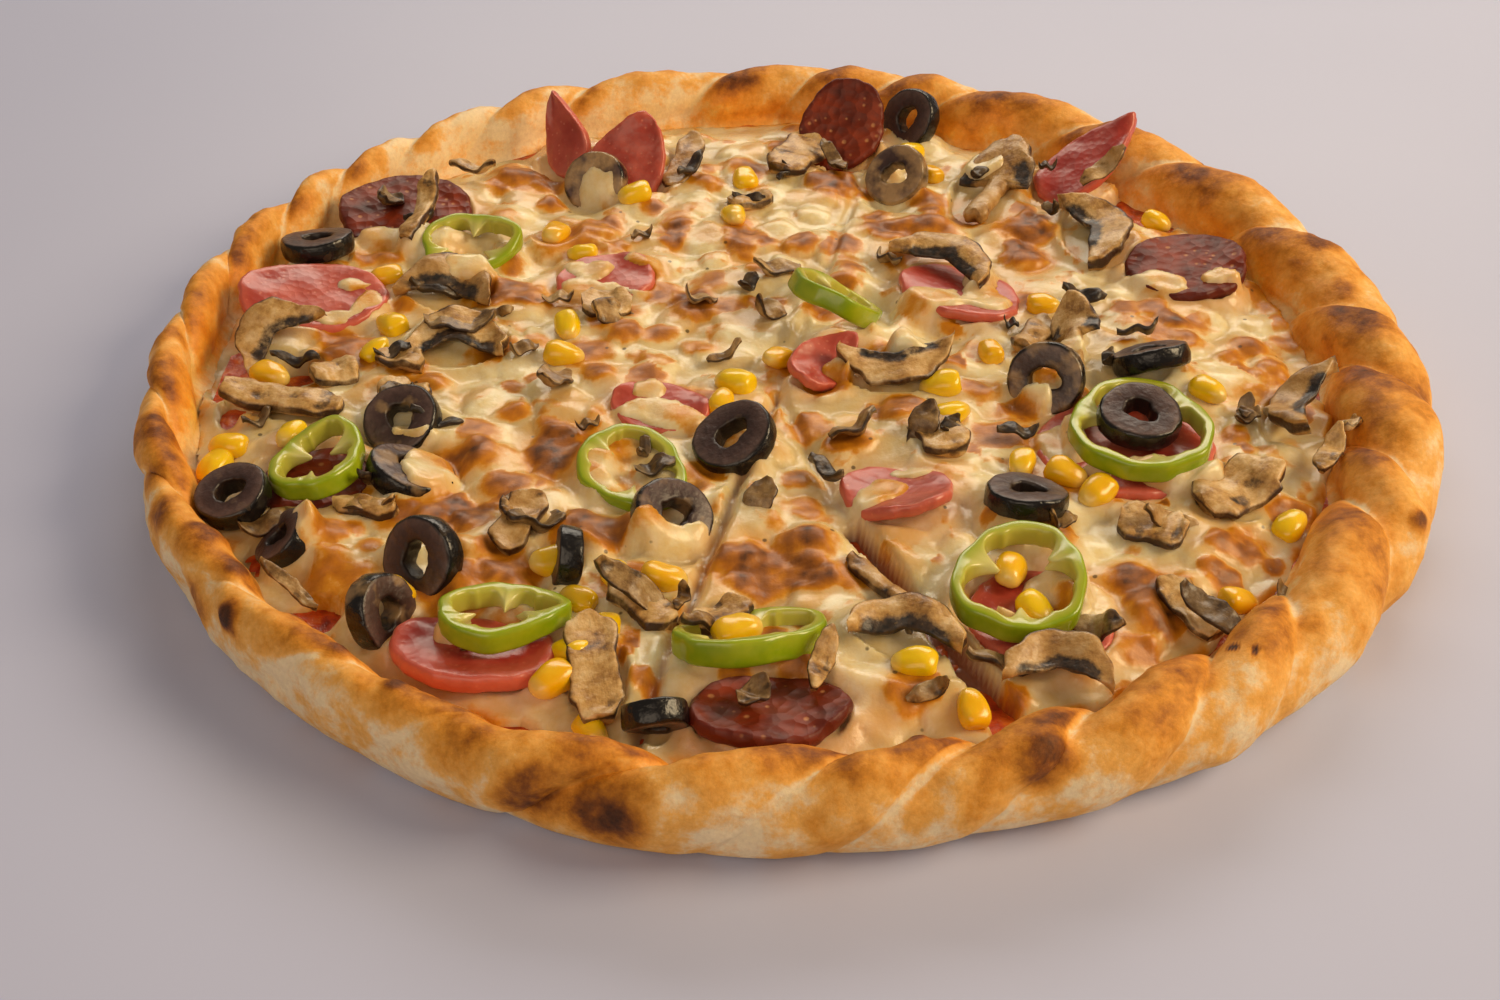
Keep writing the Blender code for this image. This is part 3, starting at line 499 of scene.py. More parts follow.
MUSHROOMS = (   # kind, then as for the salami
    ("stem", -116, -23, 15.4, 29, 9, 4.6, 1.0, -14, 4, 270),
    ("cap", -123, 1.5, 18.4, 22, 14, 3.6, 1.0, 50, 30, 270),
    ("cap", -79, 4, 15.0, 25, 17, 3.6, 2.0, 0, 10, 270),
    ("cap", -84, 28, 16.4, 24, 16, 4.2, 2.0, -10, 16, 280),
    ("stem", -95, 60, 18.6, 26, 6, 4.0, 1.5, 80, 20, 200),
    ("whole", 59, 80, 16.6, 38, 20, 4.2, 2.0, 66, 14, 200),
    ("cap", 83, 54, 16.6, 30, 16, 4.0, 1.6, -82, 14, 200),
    ("cap", 42, 37, 18.6, 27, 14, 3.8, 1.0, -38, 12, 240),
    ("cap", 26, -9, 16.4, 27, 13, 4.0, 1.6, 186, 22, 270),
    ("whole", 69, 2, 17.4, 25, 14, 3.6, 1.0, 80, 34, 190),
    ("cap", 116, -27, 16.4, 26, 13, 4.0, 2.0, 62, 26, 150),
    ("stem", 96, -56, 14.8, 20, 14, 3.6, 1.6, 34, 8, 240),
    ("cap", 50, -112, 16.4, 21, 13, 4.0, 1.4, -8, 14, 260),
    ("cap", 22, -101.4, 17.2, 23, 12, 3.8, 1.8, -12, 16, 260),
    ("stem", -38, -112, 14.6, 26, 11, 3.8, 1.0, 98, 8, 250))
KERNELS = (   # x, y, and how far the middle stands above the cheese
    (-125, -37, 1.5), (-111, -36, 1.5), (-121, -11, 1.0), (-98, -1, 1.2), (-96, 11, 1.5), (-101, 34, 1.0),
    (-53, 10, 1.5), (-53, -2, 1.0), (-15, -23, 1.5), (-12, -14, 1.5), (-2, -4, 2.0), (97, -19, 1.5),
    (37, -27, 1.5), (49, 0, 1.0), (36, -14, 1.0), (51, -46, 2.0), (60, -50, 1.5), (106, -64, 1.0),
    (-79, -90, 1.5), (-49, -78, 0.5), (-36, -83, 1.2), (-26, -85, 1.5), (-37, -100, 1.5), (-43, -107, 1.0),
    (-46, -115, 1.5), (-38, -125, 1.0), (-11, -103, 3.0), (33, -121, 1.5), (23, -110, 0.8), (44, -84, 2.0),
    (101, 67, 1.5), (37, 102, 1.5), (42, 91, 1.0), (-40, 76, 1.5), (-13, 66, 0.8), (64, 20, 0.8),
    (-127, -42, 0.6), (-43, -90, 0.8), (66, -56, 0.6), (48, -94, 0.8), (90, -88, 1.0), (-10, 88, 0.4),
    (-52, 46, 0.6), (-60, 57, 0.6))
MUSHROOM_BITS = (   # x, y, length, width and turn
    (-106, -10, 11, 10, 30), (-91, -6, 11, 8, -20), (-90, -62, 14, 6, -15), (-57, -68, 17, 9, 70),
    (-30, -92, 17, 9, -45), (-14, -97, 12, 8, 35), (76, -68, 14, 11, -25), (79, -92, 16, 9, -60),
    (18, -87, 23, 5, -57), (34, -36, 14, 12, -70), (-27, 96, 24, 8, 75), (5, 100, 22, 14, 60),
    (-8, 74, 12, 8, 20), (-88, -19, 13, 9, -35), (-44, 19, 12, 11, 0), (60, 6, 16, 8, 60))
SCRAPS = (   # x, y, height of the middle, length, width, turn, and how dark it is from 0 to 1
    (-88, -22, 16, 12, 7, 20, 0.9), (-80, -31, 15, 12, 4, 10, 0.95), (-90, -51, 15, 15, 4, 85, 0.9),
    (-90, -62, 15, 14, 5, 170, 0.1), (-109, -66, 14, 13, 6, 30, 0.6), (-101, -88, 15, 16, 3, -35, 0.5),
    (-59, -64, 16, 9, 7, 60, 0.1), (-53, -68, 15, 12, 8, 20, 0.7), (-32, -42, 15, 7, 3, 80, 0.8),
    (-29, -49, 15, 9, 6, 20, 0.8), (-7, -61, 15, 12, 7, 60, 0.6), (-31, -92, 17, 21, 6, -25, 0.45),
    (-16, -101, 16, 14, 4, 15, 0.4), (-8, -122, 17, 8, 6, 60, 0.5), (-120, -29, 14, 7, 4, 40, 0.8),
    (-53, -99, 14, 5, 3, 30, 0.8), (30, -35, 16, 13, 7, 70, 0.6), (36, -35, 17, 6, 4, 60, 0.95),
    (51, -36, 16, 9, 4, 0, 0.95), (8, -51, 16, 13, 4, -60, 0.9), (15, -35, 16, 12, 7, 20, 0.5),
    (60, -100, 15, 11, 6, -20, 0.6), (82, -97, 16, 16, 6, -50, 0.75), (104, -29, 15, 7, 5, 40, 0.6),
    (39, -110, 14, 14, 4, -10, 0.6), (22, -102, 16, 3, 2, 30, 0.9), (-125, 6, 19, 9, 3, 60, 0.97),
    (-115, -7, 16, 13, 3, -15, 0.97), (-93, -4, 16, 9, 4, 30, 0.95), (-87, 25, 16, 14, 3, 0, 0.97),
    (-105, 66, 19, 12, 7, 70, 0.7), (-96, 59, 17, 9, 3, -15, 0.95), (-85, 87, 17.5, 15, 4, -25, 0.15),
    (-25, 89, 17, 13, 4, 60, 0.9), (-9, 74, 15, 9, 3, -5, 0.95), (-43, 14, 16, 12, 8, 20, 0.35),
    (-54, -15, 16, 10, 8, 60, 0.35), (-79, 8, 17, 17, 11, 0, 0.55), (-89, -20, 16, 8, 5, -20, 0.95),
    (-14, -3, 15, 10, 3, 15, 0.5), (-70, 16, 15, 7, 3, 20, 0.5), (-63, -1, 15, 8, 4, 30, 0.55),
    (55, 84, 18, 9, 4, 50, 0.97), (73, 83, 20, 5, 3, 0, 0.95), (72, 65, 17, 8, 3, -60, 0.8),
    (87, 75, 24, 15, 6, 25, 0.15), (74, 22, 16, 11, 5, -10, 0.97), (55, 10, 15, 4, 3, 0, 0.95),
    (76, -8, 17, 6, 4, 80, 0.9), (85, 4, 17, 10, 4, -10, 0.8), (1, 89, 15, 6, 3, 60, 0.95),
    (15, 96, 16, 16, 4, -70, 0.6), (-9, 28, 16, 7, 4, 60, 0.9), (-2, 35, 16, 13, 6, 20, 0.4),
    (27, 42, 15, 10, 3, -60, 0.6), (125, -37, 18, 8, 5, 60, 0.05), (118, -46, 17, 14, 6, 60, 0.1),
    (104, -27, 15, 7, 4, 70, 0.6), (5, -112, 17, 14, 5, 75, 0.1), (-4, 17, 15, 12, 7, 30, 0.4),
    (-21, 22, 15, 9, 6, 10, 0.4), (-56, 22, 15, 8, 5, 0, 0.35), (-37, 54, 15, 6, 3, 20, 0.6),
    (-22, -92, 15, 6, 3, 70, 0.5), (79, -67, 15, 14, 5, -10, 0.25), (56, -67, 15, 9, 4, 30, 0.5),
    (99, -92, 15, 8, 4, -60, 0.6), (-45, -32, 15, 6, 3, 30, 0.4), (-63, -104, 15, 6, 3, 80, 0.5),
    (25, -118, 15, 9, 4, 20, 0.5))


def laid(mesh, x, y, z, turn, lean, toward):
    """Moves a mesh from its own middle to where the piece lies: turned, then leaned toward a direction."""
    facing = Matrix.Rotation(math.radians(toward), 4, "Z")
    leaned = facing @ Matrix.Rotation(math.radians(lean), 4, "Y") @ facing.inverted()
    mesh.transform(Matrix.Translation((x, y, z)) @ leaned @ Matrix.Rotation(math.radians(turn), 4, "Z"))
    return mesh


def joined(meshes):
    """All the meshes of a kind as one, with what is painted on them."""
    holders = [put_in("holder", mesh) for mesh in meshes]
    with bpy.context.temp_override(active_object=holders[0], object=holders[0], selected_objects=holders,
                                   selected_editable_objects=holders):
        bpy.ops.object.join()
    whole = holders[0].data
    bpy.data.objects.remove(holders[0], do_unlink=True)
    return whole


# Mozzarella, grated on and melted, has run together between the toppings and dried to ivory. It
# is toasted brown on its blisters, golden round them, and clear enough to take the colour of what
# it covers. It is a fine sheet whose height is worked out from those swells, blisters and cuts.

CHEESE_LEVEL = 13.4
CHEESE_EDGE_LEVEL = 10.2
CHEESE_EDGE_FALL = 13.0
CHEESE_EDGE_GAP = 1.0
CHEESE_EDGE_UNEVEN = 1.6
CHEESE_SWELLS = ((1.5, 26.0, 0.0), (0.9, 12.0, 3.0))
CHEESE_SPACING = 0.8
CHEESE_REACH = 4.0          # how far the sheet goes in under the rim
CHEESE_THIN = 7.4           # height to which it drops where it is missing
PILLOWS = 520               # soft lumps, some of them toasted on top
PILLOW_REACH = 126.0
PILLOW_SIZES = (3.2, 8.5)
PILLOW_RISE = (0.5, 0.17)    # height of each, and how much more for each millimetre of its size
PILLOW_GOLDEN, PILLOW_TOASTED = 0.5, 0.72   # the draws above which one is golden or toasted
PILLOW_SETTLE = 0.8         # how far the sheet sinks between them
DOME_AREA = 24.0            # square millimetres of a browned patch to each blister
LARGEST_DOME, DOME_RISE = 4.5, 0.26   # radius, and height as a share of it
TOAST_SPREAD = 1.2          # how much larger a patch is drawn than it is listed
EDGE_SPARE = 3.6            # how much further out the drawn edge is than the solid's
CUT_WALL = (-0.6, 1.9)      # where the wall of a cut starts and ends, from its edge
WIDE_SKIRT, NARROW_SKIRT = (6.0, 5.5), (1.0, 2.0)   # how far a run of cheese spreads, and its most height
SUNK = (4, 9, 13, 14, 15, 18)   # olives that the cheese lies over in places
DRAPED = (   # x, y, across, deep: where the cheese has run over a topping
    (-43, -50, 15, 17), (-52, 27, 18, 14), (-36, 40, 12, 8), (-26, -28, 20, 12), (15, -58, 15, 16),
    (37, 20, 20, 14), (85, -50, 20, 11), (61, -38, 12, 15), (59, -91, 13, 15), (-102, 17, 12, 16),
    (-97, 51, 32, 13), (93, 29, 20, 13), (-20, -70, 8, 8), (-78, -45, 10, 8), (34, 81, 8, 6), (-46, 80, 8, 8),
    (-76, 8, 14, 9), (-80, 32, 14, 8), (31, -3, 12, 8), (-38, -103, 9, 9), (66, -4, 10, 8), (57, 88, 12, 10),
    (-44, 26, 20, 9), (-32, -19, 10, 7), (50, 31, 9, 8), (-110, 13, 12, 7), (-54, 38, 8, 8), (27, -50, 10, 6),
    (12, -10, 8, 6), (-106, 54, 10, 6), (110, 30, 10, 6), (66, -50, 9, 8), (-49, 82, 15, 9),
    (-78, -49, 15, 15), (-84, -34, 11, 6), (-27, -72, 14, 8), (57, -20, 8, 6), (-101, -71, 8, 10),
    (53, -87, 16, 10), (44, -98, 8, 6), (78, -49, 12, 7), (62, -36, 8, 14), (-66, -103, 9, 6),
    (50, 21, 15, 15), (19, -57, 15, 11), (-49, 36, 12, 8), (-31, -26, 17, 9), (-107, 26, 12, 7),
    (-10, -128, 8, 6))
TOASTED = (   # x, y, across, deep and strength of each browned patch
    (-72, -62, 14, 12, 0.9), (-97, -71, 6, 6, 0.7), (-60, -74, 6, 6, 0.8), (-60, -82, 7, 7, 0.8),
    (-42, -68, 12, 10, 0.8), (-8, -80, 15, 13, 1.0), (-68, -88, 12, 10, 0.7), (-91, -84, 14, 11, 0.5),
    (3, -59, 7, 6, 0.6), (3, -73, 8, 7, 0.85), (3, -82, 10, 8, 0.85), (22, -57, 8, 7, 0.7),
    (58, -53, 6, 6, 0.8), (56, -70, 5, 10, 0.6), (72, -84, 14, 8, 0.9), (72, -92, 10, 13, 0.8),
    (94, -71, 9, 7, 0.8), (88, -83, 5, 5, 0.7), (100, -76, 4, 4, 0.7), (68, -103, 8, 6, 0.6),
    (22, -117, 8, 7, 0.7), (-90, -5, 9, 7, 0.6), (-72, -42, 14, 8, 0.85), (-51, -40, 13, 18, 0.95),
    (-63, -23, 6, 5, 0.6), (-83, -13, 8, 6, 0.6), (-66, 25, 22, 8, 0.8), (-107, 2, 8, 12, 0.8),
    (-23, 22, 10, 12, 0.85), (-40, 9, 8, 7, 0.7), (-44, -8, 8, 7, 0.7), (-24, -16, 8, 6, 0.6),
    (-35, 38, 8, 7, 0.7), (-4, 22, 6, 6, 0.7), (4, -30, 8, 6, 0.6), (14, -37, 8, 6, 0.7),
    (25, -23, 10, 7, 0.7), (45, -15, 8, 6, 0.6), (52, -24, 8, 6, 0.7), (4, 52, 9, 7, 0.7),
    (94, 13, 9, 6, 0.85), (97, 4, 7, 5, 0.6), (113, 4, 10, 7, 0.7), (107, -1, 6, 5, 0.6),
    (115, -9, 10, 7, 0.5), (109, -18, 8, 7, 0.5), (100, -35, 5, 5, 0.7), (107, -60, 7, 6, 0.7),
    (57, 25, 10, 7, 0.7), (88, 21, 10, 6, 0.7), (-68, 88, 15, 10, 0.85), (-78, 84, 6, 5, 0.6),
    (-64, 76, 6, 5, 0.7), (-47, 62, 8, 6, 0.7), (-29, 60, 6, 15, 0.95), (-22, 87, 9, 7, 0.6),
    (4, 105, 8, 15, 0.8), (14, 85, 10, 13, 0.9), (28, 60, 10, 7, 0.8), (38, 60, 9, 7, 0.8),
    (26, 68, 6, 5, 0.7), (41, 70, 5, 5, 0.8), (-11, 55, 8, 18, 0.7), (64, 60, 13, 11, 0.85),
    (64, 48, 10, 14, 0.85), (-53, 52, 26, 14, 0.45), (-104, 45, 9, 7, 0.7), (-113, 57, 6, 5, 0.6),
    (-30, -60, 6, 5, 0.6), (-96, 20, 8, 5, 0.5), (30, 42, 7, 6, 0.6), (-5, 38, 7, 5, 0.5),
    (60, -36, 6, 5, 0.5), (-20, 4, 6, 5, 0.5))
BARE = (   # x, y, across, deep: where it has drawn back
    (-132, -4, 12, 26), (-116, -8, 12, 12), (-120, 36, 18, 7), (-127, -22, 8, 10), (98, 74, 20, 24),
    (-98, 112, 24, 22), (-76, 114, 14, 12), (106, -90, 12, 8), (66, 120, 20, 14), (-30, 132, 18, 7),
    (-96, -92, 12, 9), (32, -130, 10, 6), (-54, -124, 14, 6), (114, -72, 6, 6))
CUTS = (   # both ends, both widths and how deep
    ((45.0, -134.0), (13.0, -66.0), 5.2, 1.6, 6.0), ((-33.0, -140.0), (-2.0, -16.0), 1.6, 0.8, 3.0),
    ((-2.0, -16.0), (30.0, 122.0), 1.2, 1.0, 1.2), ((13.0, -66.0), (-2.0, -16.0), 1.4, 1.0, 1.6))


def cheese_edge(angle):
    """How far out the cheese reaches: close to the foot of the rim, in an uneven line."""
    margin = RIM_FOOT + CHEESE_EDGE_GAP + CHEESE_EDGE_UNEVEN * abs(noise.noise(around(angle) * 4.0))
    return CRUST_RADIUS - 2.0 * rim_half_width(angle) - margin


def flat_noise(x, y, size, layer):
    """Smooth noise over a plane, its swells as far apart as the size. Each layer is another pattern."""
    return np.array([noise.noise((a, b, layer)) for a, b in zip((x / size).tolist(), (y / size).tolist())])


def cheese_top(x, y):
    """The slow swells of the cheese and its fall toward the rim, as the solid has them."""
    edge = np.array([cheese_edge(angle) for angle in np.degrees(np.arctan2(y, x)).tolist()])
    fall = step_up(np.hypot(x, y) - edge, -CHEESE_EDGE_FALL, 0.0)
    swell = sum(height * flat_noise(x, y, size, layer) for height, size, layer in CHEESE_SWELLS)
    return CHEESE_LEVEL + swell * (1.0 - 0.6 * fall) - (CHEESE_LEVEL - CHEESE_EDGE_LEVEL) * fall, edge


def outline_distance(x, y, centre_x, centre_y, length, width, turn):
    """Distance in millimetres from an oval's outline, negative inside."""
    turn = math.radians(turn)
    along = (x - centre_x) * math.cos(turn) + (y - centre_y) * math.sin(turn)
    across = (y - centre_y) * math.cos(turn) - (x - centre_x) * math.sin(turn)
    return (np.hypot(along / (0.5 * length), across / (0.5 * width)) - 1.0) * 0.25 * (length + width)


def near_to(off, width):
    """1 on a topping, falling to nothing beside it."""
    return np.exp(-(np.maximum(0.0, off) / width) ** 2)


def spot_share(spot_x, spot_y, across, deep):
    """How far out each point is in a spot, 1 at its swirled outline."""
    return np.hypot((swirl_x - spot_x) / (0.5 * across), (swirl_y - spot_y) / (0.5 * deep))


bm = disc_grid(CRUST_RADIUS - 2.0 * RIM_HALF_WIDTH + CHEESE_REACH, CHEESE_SPACING)
cheese_mesh = mesh_of("melted_cheese", bm)
points = points_of(cheese_mesh)
x, y = points[:, 0].copy(), points[:, 1].copy()
swells, edge = cheese_top(x, y)
nothing = np.zeros(len(points))
swirl_x = x + 1.8 * flat_noise(x, y, 9.0, 31.0) + 0.9 * flat_noise(x, y, 3.0, 32.0)
swirl_y = y + 1.8 * flat_noise(x, y, 9.0, 33.0) + 0.9 * flat_noise(x, y, 3.0, 34.0)
lumps, small_lumps, fine_lumps = (flat_noise(x, y, size, layer) for size, layer in
                                  ((10.0, 35.0), (5.2, 36.0), (2.2, 37.0)))

# The soft lumps, each the cap of a ball. Where they meet, the higher one shows.
dice = random.Random(11)
pillows, pillow_gold, pillow_toast = nothing.copy(), nothing.copy(), nothing.copy()
for _ in range(PILLOWS):
    out, turn = PILLOW_REACH * math.sqrt(dice.random()), dice.uniform(0.0, 2.0 * math.pi)
    pillow_x, pillow_y, size = out * math.cos(turn), out * math.sin(turn), dice.uniform(*PILLOW_SIZES)
    colour = dice.random()
    away = ((swirl_x - pillow_x) ** 2 + (swirl_y - pillow_y) ** 2) / size ** 2
    near = np.nonzero(away < 1.0)[0]
    away = away[near]
    cap = (PILLOW_RISE[0] + PILLOW_RISE[1] * size) * (1.0 - away) ** 0.6
    higher = cap > pillows[near]
    golden, toasted = 0.7 * (colour > PILLOW_GOLDEN), (colour > PILLOW_TOASTED) * colour
    for kept, value in ((pillows, cap), (pillow_gold, golden * (1.0 - away)),
                        (pillow_toast, toasted * (1.0 - away * 1.25))):
        kept[near] = np.where(higher, value, kept[near])
level = swells + 1.3 * lumps + 0.2 * small_lumps + pillows - PILLOW_SETTLE

# The browned patches: golden round about, and toasted on the blisters that have risen in them.
toast = 0.8 * np.clip(pillow_toast, 0.0, 1.0)
gold = np.clip(pillow_gold, 0.0, 1.0)
blister = nothing
for spot_x, spot_y, across, deep, strength in TOASTED:
    across, deep, strength = TOAST_SPREAD * across, TOAST_SPREAD * deep, min(1.0, 1.12 * strength)
    away = spot_share(spot_x, spot_y, across, deep)
    gold = np.maximum(gold, strength * (1.0 - step_up(away, 0.8, 2.0)))
    toast = np.maximum(toast, 0.45 * strength * (1.0 - step_up(away, 0.85, 1.4)))
    domes = max(1, round(across * deep / DOME_AREA))
    for _ in range(domes):
        turn, out = dice.uniform(0.0, 2.0 * math.pi), dice.uniform(0.15, 0.7) if domes > 1 else 0.0
        size = 1.1 + dice.uniform(0.6, 0.95) * min(0.5 * across, 0.5 * deep, LARGEST_DOME)
        dome_x = spot_x + 0.5 * across * out * math.cos(turn)
        dome_y = spot_y + 0.5 * deep * out * math.sin(turn)
        round_off = np.clip(1.0 - ((swirl_x - dome_x) ** 2 + (swirl_y - dome_y) ** 2) / size ** 2, 0.0, 1.0)
        blister = np.maximum(blister, DOME_RISE * size * np.sqrt(round_off))
        toast = np.maximum(toast, strength * dice.uniform(0.75, 1.0) * round_off ** 0.45)
stray = step_up(lumps + 0.6 * small_lumps + 0.3 * fine_lumps, 0.26, 0.5)
stray *= flat_noise(x, y, 24.0, 38.0) > -0.2
toast = np.clip(np.maximum(toast, 0.3 * stray) * (0.95 + 0.35 * fine_lumps), 0.0, 1.0)
gold = np.clip(np.maximum(gold, 0.5 * step_up(lumps + 0.5 * small_lumps, 0.15, 0.6)), 0.0, 1.0)
level += blister

# It rises or falls to meet each topping, lies inside each ring, and runs over the draped spots.
flat_toppings = [(x0, y0, z0, 2 * r, 2 * r, OLIVE_THICKNESS, 0, lean, toward, "ring")
                 for x0, y0, z0, r, lean, toward in OLIVES]
flat_toppings += [(*row, "ring") for row in PEPPERS]
meats = range(len(flat_toppings), len(flat_toppings) + len(SALAMI) + len(SAUSAGE))
flat_toppings += [(*row[:6], *row[7:], "disc") for row in SALAMI + SAUSAGE]
flat_toppings += [(*row[1:5], row[5] * 1.2, row[6], *row[8:], "disc") for row in MUSHROOMS]
drape, lid, pink = nothing, nothing, nothing
for spot in DRAPED:
    drape = np.maximum(drape, 1.0 - step_up(spot_share(*spot), 0.7, 1.25))
for number, (x0, y0, z0, length, width, thick, turn, lean, toward, form) in enumerate(flat_toppings):
    off = outline_distance(x, y, x0, y0, length, width, turn)
    near = near_to(off, 2.6)
    slope, facing = math.tan(math.radians(min(lean, 40.0))), math.radians(toward)
    plane = z0 - slope * ((x - x0) * math.cos(facing) + (y - y0) * math.sin(facing))
    if form == "disc":
        level += near * np.clip(plane + 0.1 * thick - level, -2.5, 1.8)
        level += step_up(-off, 0.0, 1.0) * np.minimum(0.0, plane - 0.5 * thick - 0.4 - level)
    else:
        hollow = 1.0 - step_up(off, -0.17 * (length + width), -0.1 * (length + width))
        level += near * (1.0 - hollow) * np.clip(plane - level, -2.5, 2.0)
        level += hollow * np.minimum(0.0, swells - 0.5 - level)
    covered = form == "disc" or number + 1 in SUNK
    over = plane + (0.5 * thick + 0.7 if covered else 0.3 * thick)
    skirt, most = WIDE_SKIRT if covered else NARROW_SKIRT
    cover = np.minimum(over, level + most) - 0.75 * np.maximum(0.0, off + 0.8)
    lid = np.maximum(lid, np.where(off < skirt, cover, 0.0))
    if number in meats:
        pink = np.maximum(pink, near_to(off, 4.5))
level += drape * np.maximum(0.0, lid + 0.5 * small_lumps + 0.4 * pillows - level)
toast *= 1.0 - 0.5 * drape

low_toppings = [(x0, y0, 8.6, 8.6, 0.0, 0.25 * rise) for x0, y0, rise in KERNELS]
low_toppings += [(*row, 0.2) for row in MUSHROOM_BITS]
low_toppings += [(*row[:2], *row[3:6], 0.9) for row in SCRAPS if row[2] < 18]
for *oval, rise in low_toppings:
    level += near_to(outline_distance(x, y, *oval), 2.2) * np.clip(swells + rise - level, -3.0, 0.5)

# The knife cuts, and the places where it has drawn back from the rim.
cut_depth = nothing
for (ax, ay), (bx, by), first, last, depth in CUTS:
    length = math.hypot(bx - ax, by - ay)
    along = ((x - ax) * (bx - ax) + (y - ay) * (by - ay)) / length ** 2
    off = np.abs((x - ax) * (by - ay) - (y - ay) * (bx - ax)) / length + 0.5 * flat_noise(x, y, 5.0, 41.0)
    half = 0.5 * (first + (last - first) * np.clip(along, 0.0, 1.0))
    opening = depth * (1.0 - step_up(off, half + CUT_WALL[0], half + CUT_WALL[1]))
    cut_depth = np.maximum(cut_depth, np.where((along > -0.02) & (along < 1.0), opening, 0.0))
bare = nothing
for spot in BARE:
    bare = np.maximum(bare, 1.0 - step_up(spot_share(*spot), 0.85, 1.1))
ragged_edge = edge - np.hypot(x, y) + 1.8 * flat_noise(x, y, 7.0, 42.0) + EDGE_SPARE
bare = np.maximum(bare, 1.0 - step_up(ragged_edge, 0.0, 1.6))
level = (level - cut_depth) * (1.0 - bare) + CHEESE_THIN * bare
points[:, 2] = np.maximum(level, CHEESE_THIN - 0.4)
move_to(cheese_mesh, points)

# What stains it: juice in the hollows and beside mushrooms, and the oven at the rim's foot.
under = 0.7 * step_up(flat_noise(x, y, 12.0, 39.0) + 0.4 * lumps, 0.1, 0.5)
juicy = step_up(flat_noise(x, y, 16.0, 43.0), -0.1, 0.3)
under = np.maximum(under, (1.0 - step_up(pillows, 0.1, 0.9)) * juicy)
stains = [(row[1], row[2], row[4], row[5] * 1.2, row[8], 0.9, 3.0) for row in MUSHROOMS]
stains += [(*row[:2], *row[3:6], 0.5 + 0.5 * row[6], 2.2) for row in SCRAPS]
for *oval, strength, spread in stains:
    under = np.maximum(under, strength * near_to(outline_distance(swirl_x, swirl_y, *oval), spread))
crisp = (1.0 - step_up(ragged_edge, 0.5, 5.0)) * step_up(flat_noise(x, y, 9.0, 44.0), -0.15, 0.2)
toast = np.maximum(toast, 0.42 * crisp)
paint(cheese_mesh, toast=toast, gold=np.maximum(gold, crisp), pink=pink * (1.0 - toast) * (1.0 - 0.6 * drape),
      opened=step_up(cut_depth, 1.2, 4.4), under=under * (1.0 - drape))

# Melted mozzarella: a greasy ivory skin that light sinks into, in curds of 4 mm, drier and duller
# where it is toasted, with a fleck of dried herb here and there.
mozzarella, add, shade, place, toasted, golden, rosy, opened, murky = new_material(
    "melted_mozzarella", "toast", "gold", "pink", "opened", "under")
curd = add("TexNoise", {"Vector": place, "Scale": 260.0, "Detail": 4.0, "Roughness": 0.6})
grit = add("TexNoise", {"Vector": place, "Scale": 1100.0, "Detail": 3.0})
toasting = broken_up(add, toasted, curd, 0.3, 0.7, -0.12, 0.12)
browned = add("ValToRGB", [toasting], stops=(
    (0.0, "#E8B246"), (0.28, "#DA941E"), (0.5, "#C0760E"), (0.7, "#9C5A08"), (0.86, "#844A0A"),
    (1.0, "#5A3008")))
fleck = add("TexVoronoi", {"Vector": place, "Scale": 210.0})
chosen = add("Math", [add("SeparateColor", [fleck.node.outputs["Color"]]), 0.82], operation="GREATER_THAN")
herb = add("Math", [chosen, add("MapRange", [fleck, 0.13, 0.08])], operation="MULTIPLY")
surface = coated(
    add, "#F4E8C4", ("#EAD49C", curd, 0.35, 0.65), ("#B89858", murky, 0.0, 1.0, 0.0, 0.5),
    ("#DA8258", rosy, 0.0, 1.0, 0.0, 0.3), ("#DC9A2E", golden, 0.0, 1.0, 0.0, 0.8),
    (browned, toasting, 0.12, 0.36), ("#8A2C1C", opened, 0.0, 1.0, 0.0, 0.8),
    ("#3A2C0C", herb, 0.0, 1.0, 0.0, 0.75))
shade({"Base Color": surface, "Roughness": add("MapRange", [toasting, 0.1, 0.7, 0.26, 0.5]),
       "Specular IOR Level": 0.38, "Subsurface Weight": add("MapRange", [toasting, 0.15, 0.6, 0.5, 0.12]),
       "Subsurface Radius": (0.0036, 0.0032, 0.002), "Subsurface Scale": 1.0,
       "Coat Weight": 0.14, "Coat Roughness": 0.14,
       "Normal": add("Bump", {"Height": weighed(add, grit, 0.3, curd),
                            "Distance": 0.4 * MM, "Strength": 0.5})})
finished("melted_cheese", cheese_mesh, mozzarella, "melted_cheese", "cheese")


# Sweet corn lies in the cheese: deep yellow, full and glossy kernels, blunt at the crown and
# narrower and paler toward the root. Each is a round grid squeezed into a tooth.

KERNEL_SIZE = (4.7, 3.7, 3.0)   # half its length, width and height
KERNEL_TAPER = 0.28
KERNEL_BLUNTNESS = 0.82
KERNEL_DENT = 0.16


def cheese_at(x0, y0):
    return float(cheese_top(np.array([x0]), np.array([y0]))[0][0])


